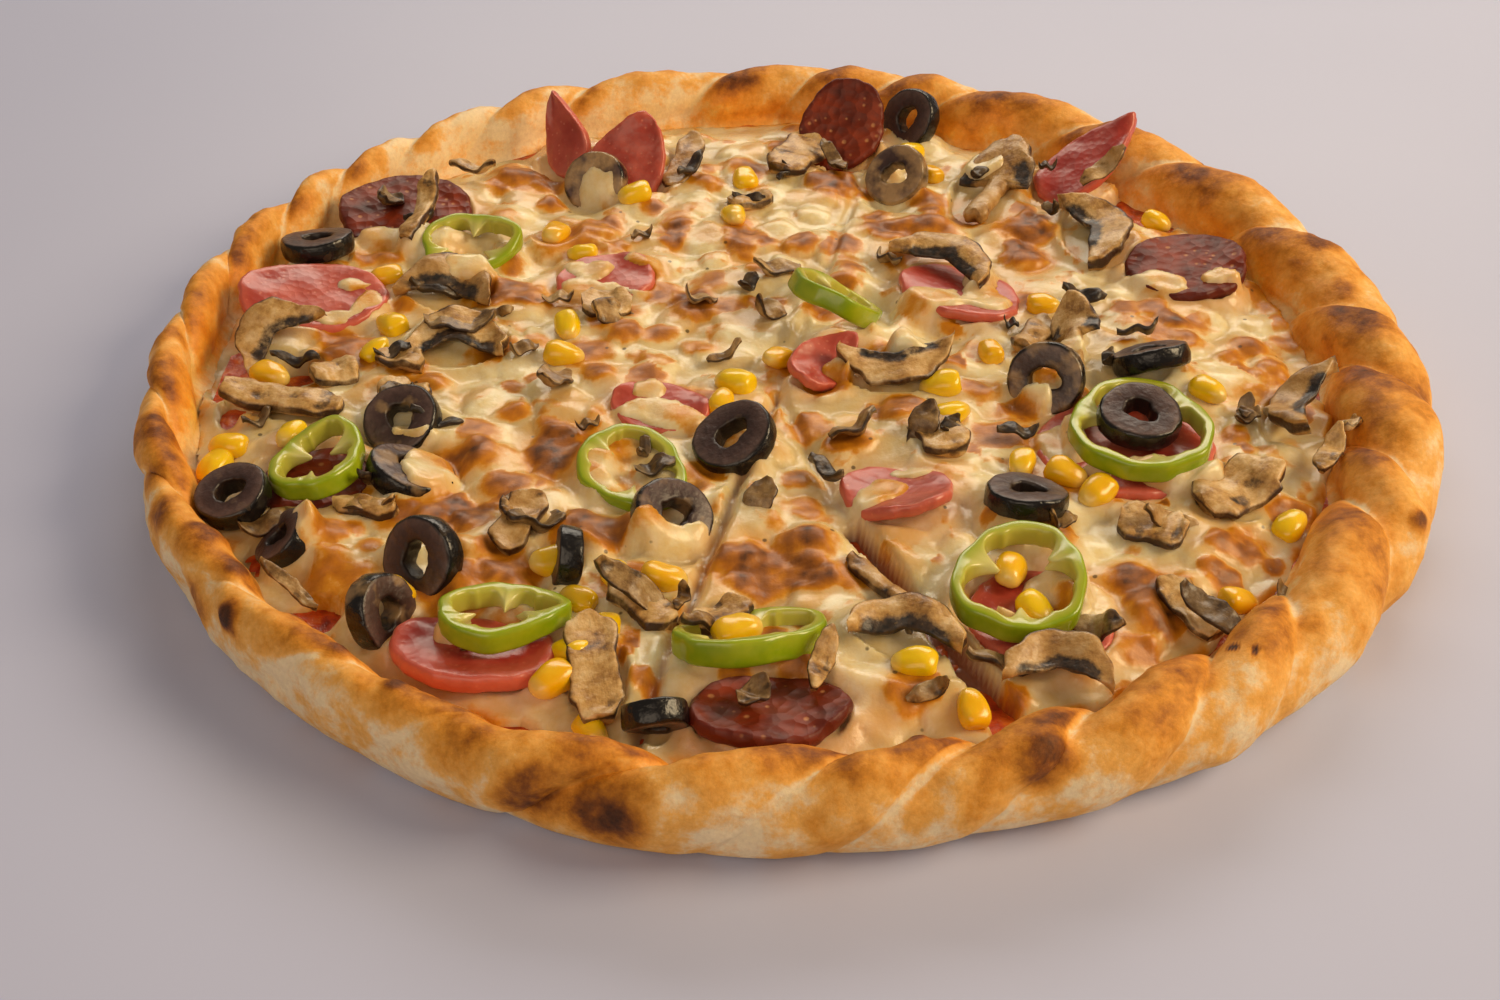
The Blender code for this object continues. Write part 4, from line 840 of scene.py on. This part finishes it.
def kernel(number, x0, y0, rise):
    bm = bmesh.new()
    bmesh.ops.create_uvsphere(bm, u_segments=22, v_segments=14, radius=1.0)
    mesh = mesh_of("kernel", bm)
    points = points_of(mesh)
    paint(mesh, crown=points[:, 0], tone=math.sin(number * 2.3))
    blunt = np.sign(points) * np.abs(points) ** KERNEL_BLUNTNESS
    dent = np.exp(-(blunt[:, 1] ** 2 + blunt[:, 2] ** 2) / 0.12) * np.clip(blunt[:, 0], 0.0, 1.0) ** 3
    narrow = 1.0 - KERNEL_TAPER * 0.5 * (1.0 - blunt[:, 0])
    blunt[:, 0] -= KERNEL_DENT * dent
    blunt[:, 1:] *= narrow[:, None]
    points = blunt * KERNEL_SIZE * (1.0 + 0.1 * math.sin(number * 3.7))
    points += 0.35 * shaken(points, 3.0, number)
    move_to(mesh, points)
    lean = 20.0 * math.sin(number * 1.7)
    return laid(mesh, x0, y0, cheese_at(x0, y0) + rise, number * 77.0, lean, number * 131.0)


corn_mesh = joined([kernel(number, *row) for number, row in enumerate(KERNELS)])

# Cooked corn: a tight thin skin over soft flesh, so it glows a little and has a small clear shine.
# Its yellow is uneven every 4 mm, and from kernel to kernel.
corn, add, shade, place, crown, tone = new_material("sweet_corn", "crown", "tone")
mottle = add("TexNoise", {"Vector": place, "Scale": 240.0, "Detail": 2.0})
yellow = coated(add, "#F4B800", ("#FFD400", tone, -1.0, 1.0), ("#FAD030", mottle, 0.45, 0.75, 0.0, 0.5),
                ("#F0CE6E", crown, -0.45, -0.95))
shade({"Base Color": yellow, "Roughness": 0.24, "Subsurface Weight": 0.3,
       "Subsurface Radius": (0.002, 0.0015, 0.0003), "Coat Weight": 0.3, "Coat Roughness": 0.1,
       "Normal": add("Bump", {"Height": mottle, "Distance": 0.25 * MM, "Strength": 0.6})})
finished("sweet_corn", corn_mesh, corn, "sweet_corn")


# Black olives cut across in rings: a skin that is nearly black, a purple-brown cut face and the
# hole of the stone. Each is a turned ring whose hole and faces are made uneven.

OLIVE_HOLE = 0.38
OLIVE_STEPS = 56
OLIVE_ROUNDNESS = 0.28
FILMED = {4: 0.2, 6: 0.4, 9: 0.5, 13: 0.8, 14: 0.3, 15: 0.35, 17: 0.9}   # how far cheese films an olive


def soft(value, sharpness):
    return np.sign(value) * np.abs(value) ** sharpness


def slab(inner, outer, thickness, sharpness, count):
    """A closed profile of a ring with rounded edges."""
    turns = [2.0 * math.pi * step / count for step in range(count)]
    return [(0.5 * (inner + outer) + 0.5 * (outer - inner) * soft(math.cos(turn), sharpness),
             0.5 * thickness * soft(math.sin(turn), sharpness)) for turn in turns]


def numbered(name, rows):
    """The names of a table's nodes."""
    return [name % (number + 1) for number in range(len(rows))]


def olive(number, x0, y0, z0, radius, lean, toward):
    hole = OLIVE_HOLE * radius
    profile = slab(hole, radius, 0.9 * OLIVE_THICKNESS, OLIVE_ROUNDNESS, 32)
    mesh, points, away, angle = round_mesh("olive", turned(profile, OLIVE_STEPS, closed=True))
    inward = np.clip((radius - away) / (radius - hole), 0.0, 1.0)
    paint(mesh, skin=step_up(away / radius, 0.93, 0.985), core=inward, film=FILMED.get(number + 1, 0.0))
    wobble = 0.13 * np.cos(2 * angle + number) + 0.07 * np.cos(3 * angle + 2.0 * number)
    wobble += 0.16 * flat_noise(np.cos(angle), np.sin(angle), 0.55, 90.0 + number)
    grow = 1.0 + inward * wobble + 0.02 * np.cos(2 * angle + 1.7 * number)
    grow += 0.05 * (1.0 - inward) * (1.0 - (2.0 * points[:, 2] / OLIVE_THICKNESS) ** 2)
    points[:, :2] *= grow[:, None]
    points[:, 2] += 0.35 * np.cos(2 * angle + 1.3 * number) * away / radius
    points += 0.22 * shaken(points, 2.6, number)
    move_to(mesh, points)
    return laid(mesh, x0, y0, z0, number * 50.0, lean, toward)


olive_mesh = joined([olive(number, *row) for number, row in enumerate(OLIVES)])

# Cured olive: a smooth dark skin with a dull shine, over flesh grained every 1.5 mm. A paler ring
# just under the skin is a painted sheen, and the flesh darkening toward the hole is painted shade.
# A film of cheese is smeared on some in patches of 6 mm.
olive_stuff, add, shade, place, skin, core, film = new_material("black_olive", "skin", "core", "film")
grain = add("TexNoise", {"Vector": place, "Scale": 700.0, "Detail": 4.0})
smear = add("TexNoise", {"Vector": place, "Scale": 180.0, "Detail": 3.0})
# Painted light in the flesh: the pale stop near the skin is a painted sheen, and the dark stops toward the
# hole are painted shade.
flesh = add("ValToRGB", [core], stops=(
    (0.04, "#1A1010"), (0.14, "#66504C"), (0.5, "#4E3836"), (0.8, "#402A28"), (1.0, "#1E1210")))
filmed = broken_up(add, film, smear, 0.35, 0.65, -0.75, 0.2)
cut_face_and_painted_light = coated(add, flesh, ("#2A1A18", grain, 0.35, 0.7, 0.0, 0.5), ("#120E10", skin),
                  ("#B8966A", filmed, 0.15, 0.8, 0.0, 0.75))
shade({"Base Color": cut_face_and_painted_light, "Roughness": add("MapRange", [skin, 0.0, 1.0, 0.42, 0.24]),
       "Coat Weight": 0.12, "Coat Roughness": 0.15,
       "Normal": add("Bump", {"Height": grain, "Distance": 0.3 * MM, "Strength": 0.9})})
finished("olive_rings", olive_mesh, olive_stuff, "black_olive", *numbered("olive_ring_%02d", OLIVES))


# Green peppers cut across in rings: a waxy yellow-green skin over paler wet flesh, with the ribs
# of the core inside. Each is a turned ring spread on to its lobes, with the ribs drawn inward.

PEPPER_WALL = 3.0
PEPPER_RIB = 2.6
PEPPER_STEPS = 140


def pepper(number, x0, y0, z0, length, width, thickness, turn, lean, toward):
    profile = slab(1.0, 2.0, thickness, 0.5, 26)
    mesh, points, away, angle = round_mesh("pepper", turned(profile, PEPPER_STEPS, closed=True))
    inward = 2.0 - away
    lobe = 1.0 + 0.05 * np.cos(3 * angle) + 0.03 * np.cos(2 * angle + 0.7)
    lobe += 0.012 * np.cos(7 * angle + number) + 0.01 * np.cos(11 * angle + 2 * number)
    ragged = 1.0 + 0.22 * np.sin(1.1 * points[:, 2] + 5.0 * angle + number)
    rib = 1.6 * PEPPER_RIB * ragged * np.clip(np.cos(3 * angle + 2.4), 0.0, 1.0) ** 5
    thread = 0.5 * np.clip(np.cos(9 * angle + number), 0.0, 1.0) ** 4
    depth = inward * 0.9 * PEPPER_WALL * (1.0 - 0.15 * np.cos(5 * angle + number))
    depth += inward ** 2 * (rib + thread)
    ribbed = np.clip(rib / PEPPER_RIB, 0.0, 1.0) * step_up(inward, 0.3, 1.0)
    paint(mesh, skin=1.0 - step_up(inward, 0.16, 0.4), core=step_up(inward, 0.35, 0.95), rib=ribbed)
    points[:, 0] = (0.5 * length * lobe - depth) * np.cos(angle)
    points[:, 1] = (0.5 * width * lobe - depth) * np.sin(angle)
    points[:, 2] *= 1.0 - 0.45 * ribbed
    points[:, 2] += 0.4 * np.cos(2 * angle + number) + 0.25 * np.cos(3 * angle + 2 * number)
    points += 0.35 * shaken(points, 9.0, number)
    move_to(mesh, points)
    return laid(mesh, x0, y0, z0, turn, lean, toward)


pepper_mesh = joined([pepper(number, *row) for number, row in enumerate(PEPPERS)])

# Baked pepper: a smooth waxy skin with a clear shine, mottled every 5 mm, over watery flesh that
# lets light through.
pepper_stuff, add, shade, place, skin, core, rib = new_material("green_pepper", "skin", "core", "rib")
mottle = add("TexNoise", {"Vector": place, "Scale": 190.0, "Detail": 3.0})
green = coated(add, "#8CA80A", ("#AABA1C", mottle, 0.35, 0.7))
flesh = coated(add, "#A2AE1C", ("#C2C04E", core), ("#DDD48C", rib, 0.0, 1.0, 0.0, 0.8))
shade({"Base Color": coated(add, flesh, (green, skin)), "Roughness": 0.26, "Subsurface Weight": 0.3,
       "Subsurface Radius": (0.0016, 0.0024, 0.0006), "Coat Weight": 0.4, "Coat Roughness": 0.12,
       "Normal": add("Bump", {"Height": mottle, "Distance": 0.12 * MM, "Strength": 0.5})})
finished("pepper_rings", pepper_mesh, pepper_stuff, "green_pepper", *numbered("pepper_ring_%d", PEPPERS))


# Slices of smooth pink salami and of coarse dark sausage, curled and browned at the edge where
# they stand out of the cheese. Each is a turned disc, bent and given an uneven outline.

MEAT_STEPS = 96
MEAT_RINGS = 14.0
EDGE_TURNS = (1.4, 1.1, 0.75, 0.35, 0, -0.35, -0.75, -1.1, -1.4)
EDGE_ROUNDING = 0.07        # the share of a slice's radius that its edge is rounded over


def meat(name, number, x0, y0, z0, length, width, thickness, bend, turn, lean, toward):
    half = 0.5 * thickness
    rings = [share / MEAT_RINGS for share in range(13)]
    edge = [(1.0 - EDGE_ROUNDING + EDGE_ROUNDING * math.cos(t), half * math.sin(t)) for t in EDGE_TURNS]
    profile = [(r, half) for r in rings] + edge + [(r, -half) for r in reversed(rings)]
    mesh, points, away, angle = round_mesh("meat", turned(profile, MEAT_STEPS, closed=False))
    across = points[:, 0].copy()
    paint(mesh, rim=step_up(away, 0.8, 1.0), tone=math.sin(number * 1.9))
    uneven = 1.0 + 0.03 * np.sin(2 * angle + length) + 0.02 * np.sin(5 * angle + width)
    uneven += 0.008 * np.sin(13 * angle + number) + 0.006 * np.sin(23 * angle + 2 * number)
    points[:, 0] *= 0.5 * length * uneven
    drawn_in = POINTED.get(name, 0.0) * np.clip(0.5 + 0.5 * across, 0, 1) ** 2
    points[:, 1] *= 0.5 * width * uneven * (1.0 - drawn_in)
    ripple = 0.5 * np.sin(3 * angle + number) + 0.3 * np.sin(5 * angle + 2.0 * number)
    points[:, 2] += bend * across ** 2 + ripple * step_up(away, 0.45, 1.0)
    points[:, 2] += 0.35 * flat_noise(points[:, 0], points[:, 1], 6.0, 50.0 + number) * (away < 0.95)
    move_to(mesh, points)
    return laid(mesh, x0, y0, z0, turn, lean, toward)


salami_names = numbered("salami_%02d", SALAMI)
salami_mesh = joined([meat(name, ord(name[-1]), *row) for name, row in zip(salami_names, SALAMI)])

# Fine-ground salami: moist pink in clouds of 8 mm, with specks of fat every 2 mm, paler at the edge.
salami_stuff, add, shade, place, rim, tone = new_material("pink_salami", "rim", "tone")
cloud = add("TexNoise", {"Vector": place, "Scale": 120.0, "Detail": 3.0})
specks = add("TexVoronoi", {"Vector": place, "Scale": 520.0})
pink = coated(add, "#A63A2E", ("#C65C4C", cloud, 0.35, 0.65), ("#E39078", specks, 0.22, 0.1, 0.0, 0.4),
              ("#A01C18", tone, 0.2, 1.0, 0.0, 0.6), ("#E57862", rim, 0.0, 1.0, 0.0, 0.55))
shade({"Base Color": pink, "Roughness": add("MapRange", [cloud, 0.3, 0.7, 0.3, 0.42]),
       "Subsurface Weight": 0.2, "Subsurface Radius": (0.003, 0.0008, 0.0006),
       "Coat Weight": 0.25, "Coat Roughness": 0.2,
       "Normal": add("Bump", {"Height": weighed(add, cloud, 1.0, specks),
                            "Distance": 0.3 * MM, "Strength": 0.5})})
finished("salami_slices", salami_mesh, salami_stuff, "pink_salami", *salami_names)

sausage_names = numbered("sausage_%02d", SAUSAGE)
sausage_mesh = joined([meat(name, ord(name[-1]) + 20, *row) for name, row in zip(sausage_names, SAUSAGE)])

# Coarse cured sausage: dark red meat with pale bits of fat every 3 mm, rough and hardly greasy.
sausage_stuff, add, shade, place, rim = new_material("dark_sausage", "rim")
cloud = add("TexNoise", {"Vector": place, "Scale": 150.0, "Detail": 4.0})
fat = add("TexVoronoi", {"Vector": place, "Scale": 330.0, "Randomness": 1.0})
fat = broken_up(add, fat, cloud, 0.2, 0.8, 0.22, -0.22)
red = coated(add, "#54180A", ("#92381A", cloud, 0.3, 0.7), ("#C88A5A", fat, 0.2, 0.08, 0.0, 0.75),
             ("#571A14", rim, 0.0, 1.0, 0.0, 0.6))
shade({"Base Color": red, "Roughness": 0.46, "Specular IOR Level": 0.3,
       "Coat Weight": 0.06, "Coat Roughness": 0.22,
       "Normal": add("Bump", {"Height": weighed(add, cloud, 1.0, fat),
                            "Distance": 0.9 * MM, "Strength": 0.9})})
finished("sausage_slices", sausage_mesh, sausage_stuff, "dark_sausage", *sausage_names)


# Sliced mushrooms, baked dry: beige flesh, dark gills, and edges that have shrunk, curled and
# scorched. Each is a flat tube along its length, as wide at each place as the slice's outline.

BAND_ROWS = 34
BAND_STEPS = 26
BAND_END = 0.03             # the share of its length left off at each blunt end
MUSHROOM_NECK = 0.05
FLAKE_OUTLINE = ((-0.5, 0.14), (-0.3, 0.40), (0.05, 0.5), (0.34, 0.40), (0.5, 0.12))   # along, half width
STEM_OUTLINE = ((-0.5, 0.26), (-0.34, 0.48), (0.0, 0.42), (0.34, 0.50), (0.5, 0.24))
WHOLE_STEM = ((-0.5, 0.12), (-0.46, 0.18), (-0.2, 0.14), (MUSHROOM_NECK - 0.02, 0.16))
CAP_UNDERSIDE = ((-0.5, -0.45), (-0.26, -0.30), (0.0, -0.12), (0.26, -0.30), (0.5, -0.45))
BIT_THICKNESS = 4.0
BIT_LEAN = 8.0


def read_off(along, outline):
    return np.interp(along, *zip(*outline))


def outline_of(kind, along):
    """The two sides of a slice at a share of its length from -0.5 to 0.5, in shares of its width."""
    if kind == "cap":
        upper = np.sqrt(np.clip(1.0 - (2.0 * along) ** 2, 0.0, 1.0)) - 0.45
        return np.minimum(read_off(along, CAP_UNDERSIDE), upper), upper
    if kind == "whole":
        cap = 0.5 * np.sqrt(np.clip(1.0 - ((along - MUSHROOM_NECK) / 0.45) ** 2, 0.0, 1.0))
        half = np.where(along < MUSHROOM_NECK, read_off(along, WHOLE_STEM), cap)
    else:
        half = read_off(along, FLAKE_OUTLINE if kind == "flake" else STEM_OUTLINE)
    return -half, half


def band(number, kind, x0, y0, z0, length, width, thickness, bend, turn, lean, toward, darkness=0.0):
    """A mushroom slice: a cap, a stem, a whole one or a flake, painted with its gills and rind."""
    rows = [(0.0, 0.0)] + [(1.0, float(row)) for row in range(BAND_ROWS)] + [(0.0, BAND_ROWS - 1.0)]
    mesh, points, away, angle = round_mesh("band", turned(rows, BAND_STEPS, closed=False))
    tip = away < 0.5
    share = points[:, 2] / (BAND_ROWS - 1.0)
    sweep = BAND_END + (1.0 - 2.0 * BAND_END) * share
    along = -0.5 * np.cos(math.pi * sweep) / math.cos(BAND_END * math.pi)
    lower, upper = outline_of(kind, along)
    middle, half = 0.5 * (lower + upper), 0.5 * (upper - lower)
    across = np.where(tip, middle, middle + half * soft(np.cos(angle), 0.9))
    side = np.where(tip, 0.0, soft(np.sin(angle), 0.8))
    flesh_edge = np.where(tip, 1.0, np.abs(np.cos(angle)))
    if kind == "cap":
        gill = step_up(-np.cos(angle), 0.05, 0.6) * (1.0 - step_up(np.abs(along), 0.3, 0.46))
        rind = step_up(np.cos(angle), 0.72, 0.95)
    elif kind == "whole":
        gill = step_up(np.abs(across), 0.16, 0.24) * (along > MUSHROOM_NECK - 0.05)
        gill *= 1.0 - step_up(along, MUSHROOM_NECK + 0.1, MUSHROOM_NECK + 0.22)
        rind = step_up(flesh_edge, 0.75, 0.95) * (along > MUSHROOM_NECK)
    else:
        gill = step_up(np.abs(flat_noise(along * 20.0, across * 10.0, 5.0, number)), 0.28, 0.45) * 0.5
        rind = step_up(flesh_edge, 0.8, 0.98)
    paint(mesh, gill=gill, dried=darkness, rind=rind, run=along * length, side=across * width,
          tone=math.sin(number * 2.7))
    frayed = 1.0 + 0.13 * flat_noise(along * length, across * width, 4.0, 70.0 + number)
    thin = 0.5 * thickness * (1.0 - 0.35 * gill)
    points = np.stack([along * length * frayed, across * width * frayed, side * thin], 1)
    if kind == "whole":
        points[:, 0] -= 0.12 * length * (2.0 * across) ** 2 * (along > MUSHROOM_NECK - 0.04)
    points[:, 2] += bend * (2.0 * along) ** 2 + 0.5 * bend * np.sin(9.0 * along + number)
    points[:, 2] += 0.10 * width * (2.0 * (across - middle)) ** 2 * (1.0 + math.sin(number * 3.3))
    points += 0.8 * shaken(points, 5.5, number) * (0.5, 0.5, 1.0) + 0.3 * shaken(points, 1.9, number + 50.0)
    move_to(mesh, points)
    return laid(mesh, x0, y0, z0, turn, lean, toward)


mushroom_mesh = joined([band(number, *row) for number, row in enumerate(MUSHROOMS)])
bits = [band(number + 30, "stem", x0, y0, cheese_at(x0, y0) + 0.8, length, width, BIT_THICKNESS, 0.6, turn,
             BIT_LEAN, number * 97.0) for number, (x0, y0, length, width, turn) in enumerate(MUSHROOM_BITS)]
bits += [band(number + 60, "flake", x0, y0, z0, length, width, 1.0 + 0.07 * length, 1.6, turn,
              22.0 + 20.0 * math.sin(number * 1.3), number * 61.0, darkness)
         for number, (x0, y0, z0, length, width, turn, darkness) in enumerate(SCRAPS)]
bit_mesh = joined(bits)

# Mushroom baked until leathery: beige flesh streaked along its length and clouded every 6 mm, its
# palest cream clouds a painted highlight, sooty gills with fibres every 1.6 mm, and a rind
# scorched at its edge.
mushroom_stuff, add, shade, place, gill, dried, rind, run, side, tone = new_material(
    "baked_mushroom", "gill", "dried", "rind", "run", "side", "tone")
cloud = add("TexNoise", {"Vector": place, "Scale": 170.0, "Detail": 5.0, "Roughness": 0.65})
fibre = add("TexNoise", {"Vector": place, "Scale": 620.0, "Detail": 3.0})
lengthwise = add("CombineXYZ", [add("Math", [run, 0.22], operation="MULTIPLY"), side, tone])
streaks = add("TexNoise", {"Vector": lengthwise, "Scale": 1.5, "Detail": 3.0, "Roughness": 0.6})
grain = weighed(add, cloud, 0.86, add("Math", [streaks, 0.14], operation="MULTIPLY"))
# The palest cream stop is a painted highlight on the beige flesh.
beige_and_painted_highlight = add("ValToRGB", [grain], stops=(
    (0.3, "#5E3C18"), (0.41, "#A47638"), (0.52, "#CCA262"), (0.7, "#EED2A2")))
scorched = broken_up(add, rind, cloud, 0.3, 0.7, 0.1, -0.5)
sooty = broken_up(add, gill, cloud, 0.3, 0.7, 0.45, -0.45)
shrunk = broken_up(add, dried, cloud, 0.3, 0.7, 0.15, -0.25)
soot = coated(add, "#140E0C", ("#4A3626", fibre, 0.35, 0.65))
surface = coated(add, beige_and_painted_highlight, ("#9E7440", tone, 0.2, 1.0, 0.0, 0.45), ("#3A1E0C", scorched, 0.15, 0.8),
                 (soot, sooty, 0.35, 0.85), ("#241812", shrunk, 0.0, 0.95))
shade({"Base Color": surface, "Roughness": 0.45, "Subsurface Weight": 0.15,
       "Subsurface Radius": (0.002, 0.0015, 0.0008), "Subsurface Scale": 1.0,
       "Coat Weight": 0.25, "Coat Roughness": 0.2,
       "Normal": add("Bump", {"Height": weighed(add, streaks, 0.3, fibre),
                            "Distance": 0.4 * MM, "Strength": 0.8})})
finished("mushroom_slices", mushroom_mesh, mushroom_stuff, "baked_mushroom",
         *numbered("mushroom_%02d", MUSHROOMS))
finished("mushroom_bits", bit_mesh, mushroom_stuff, "baked_mushroom")
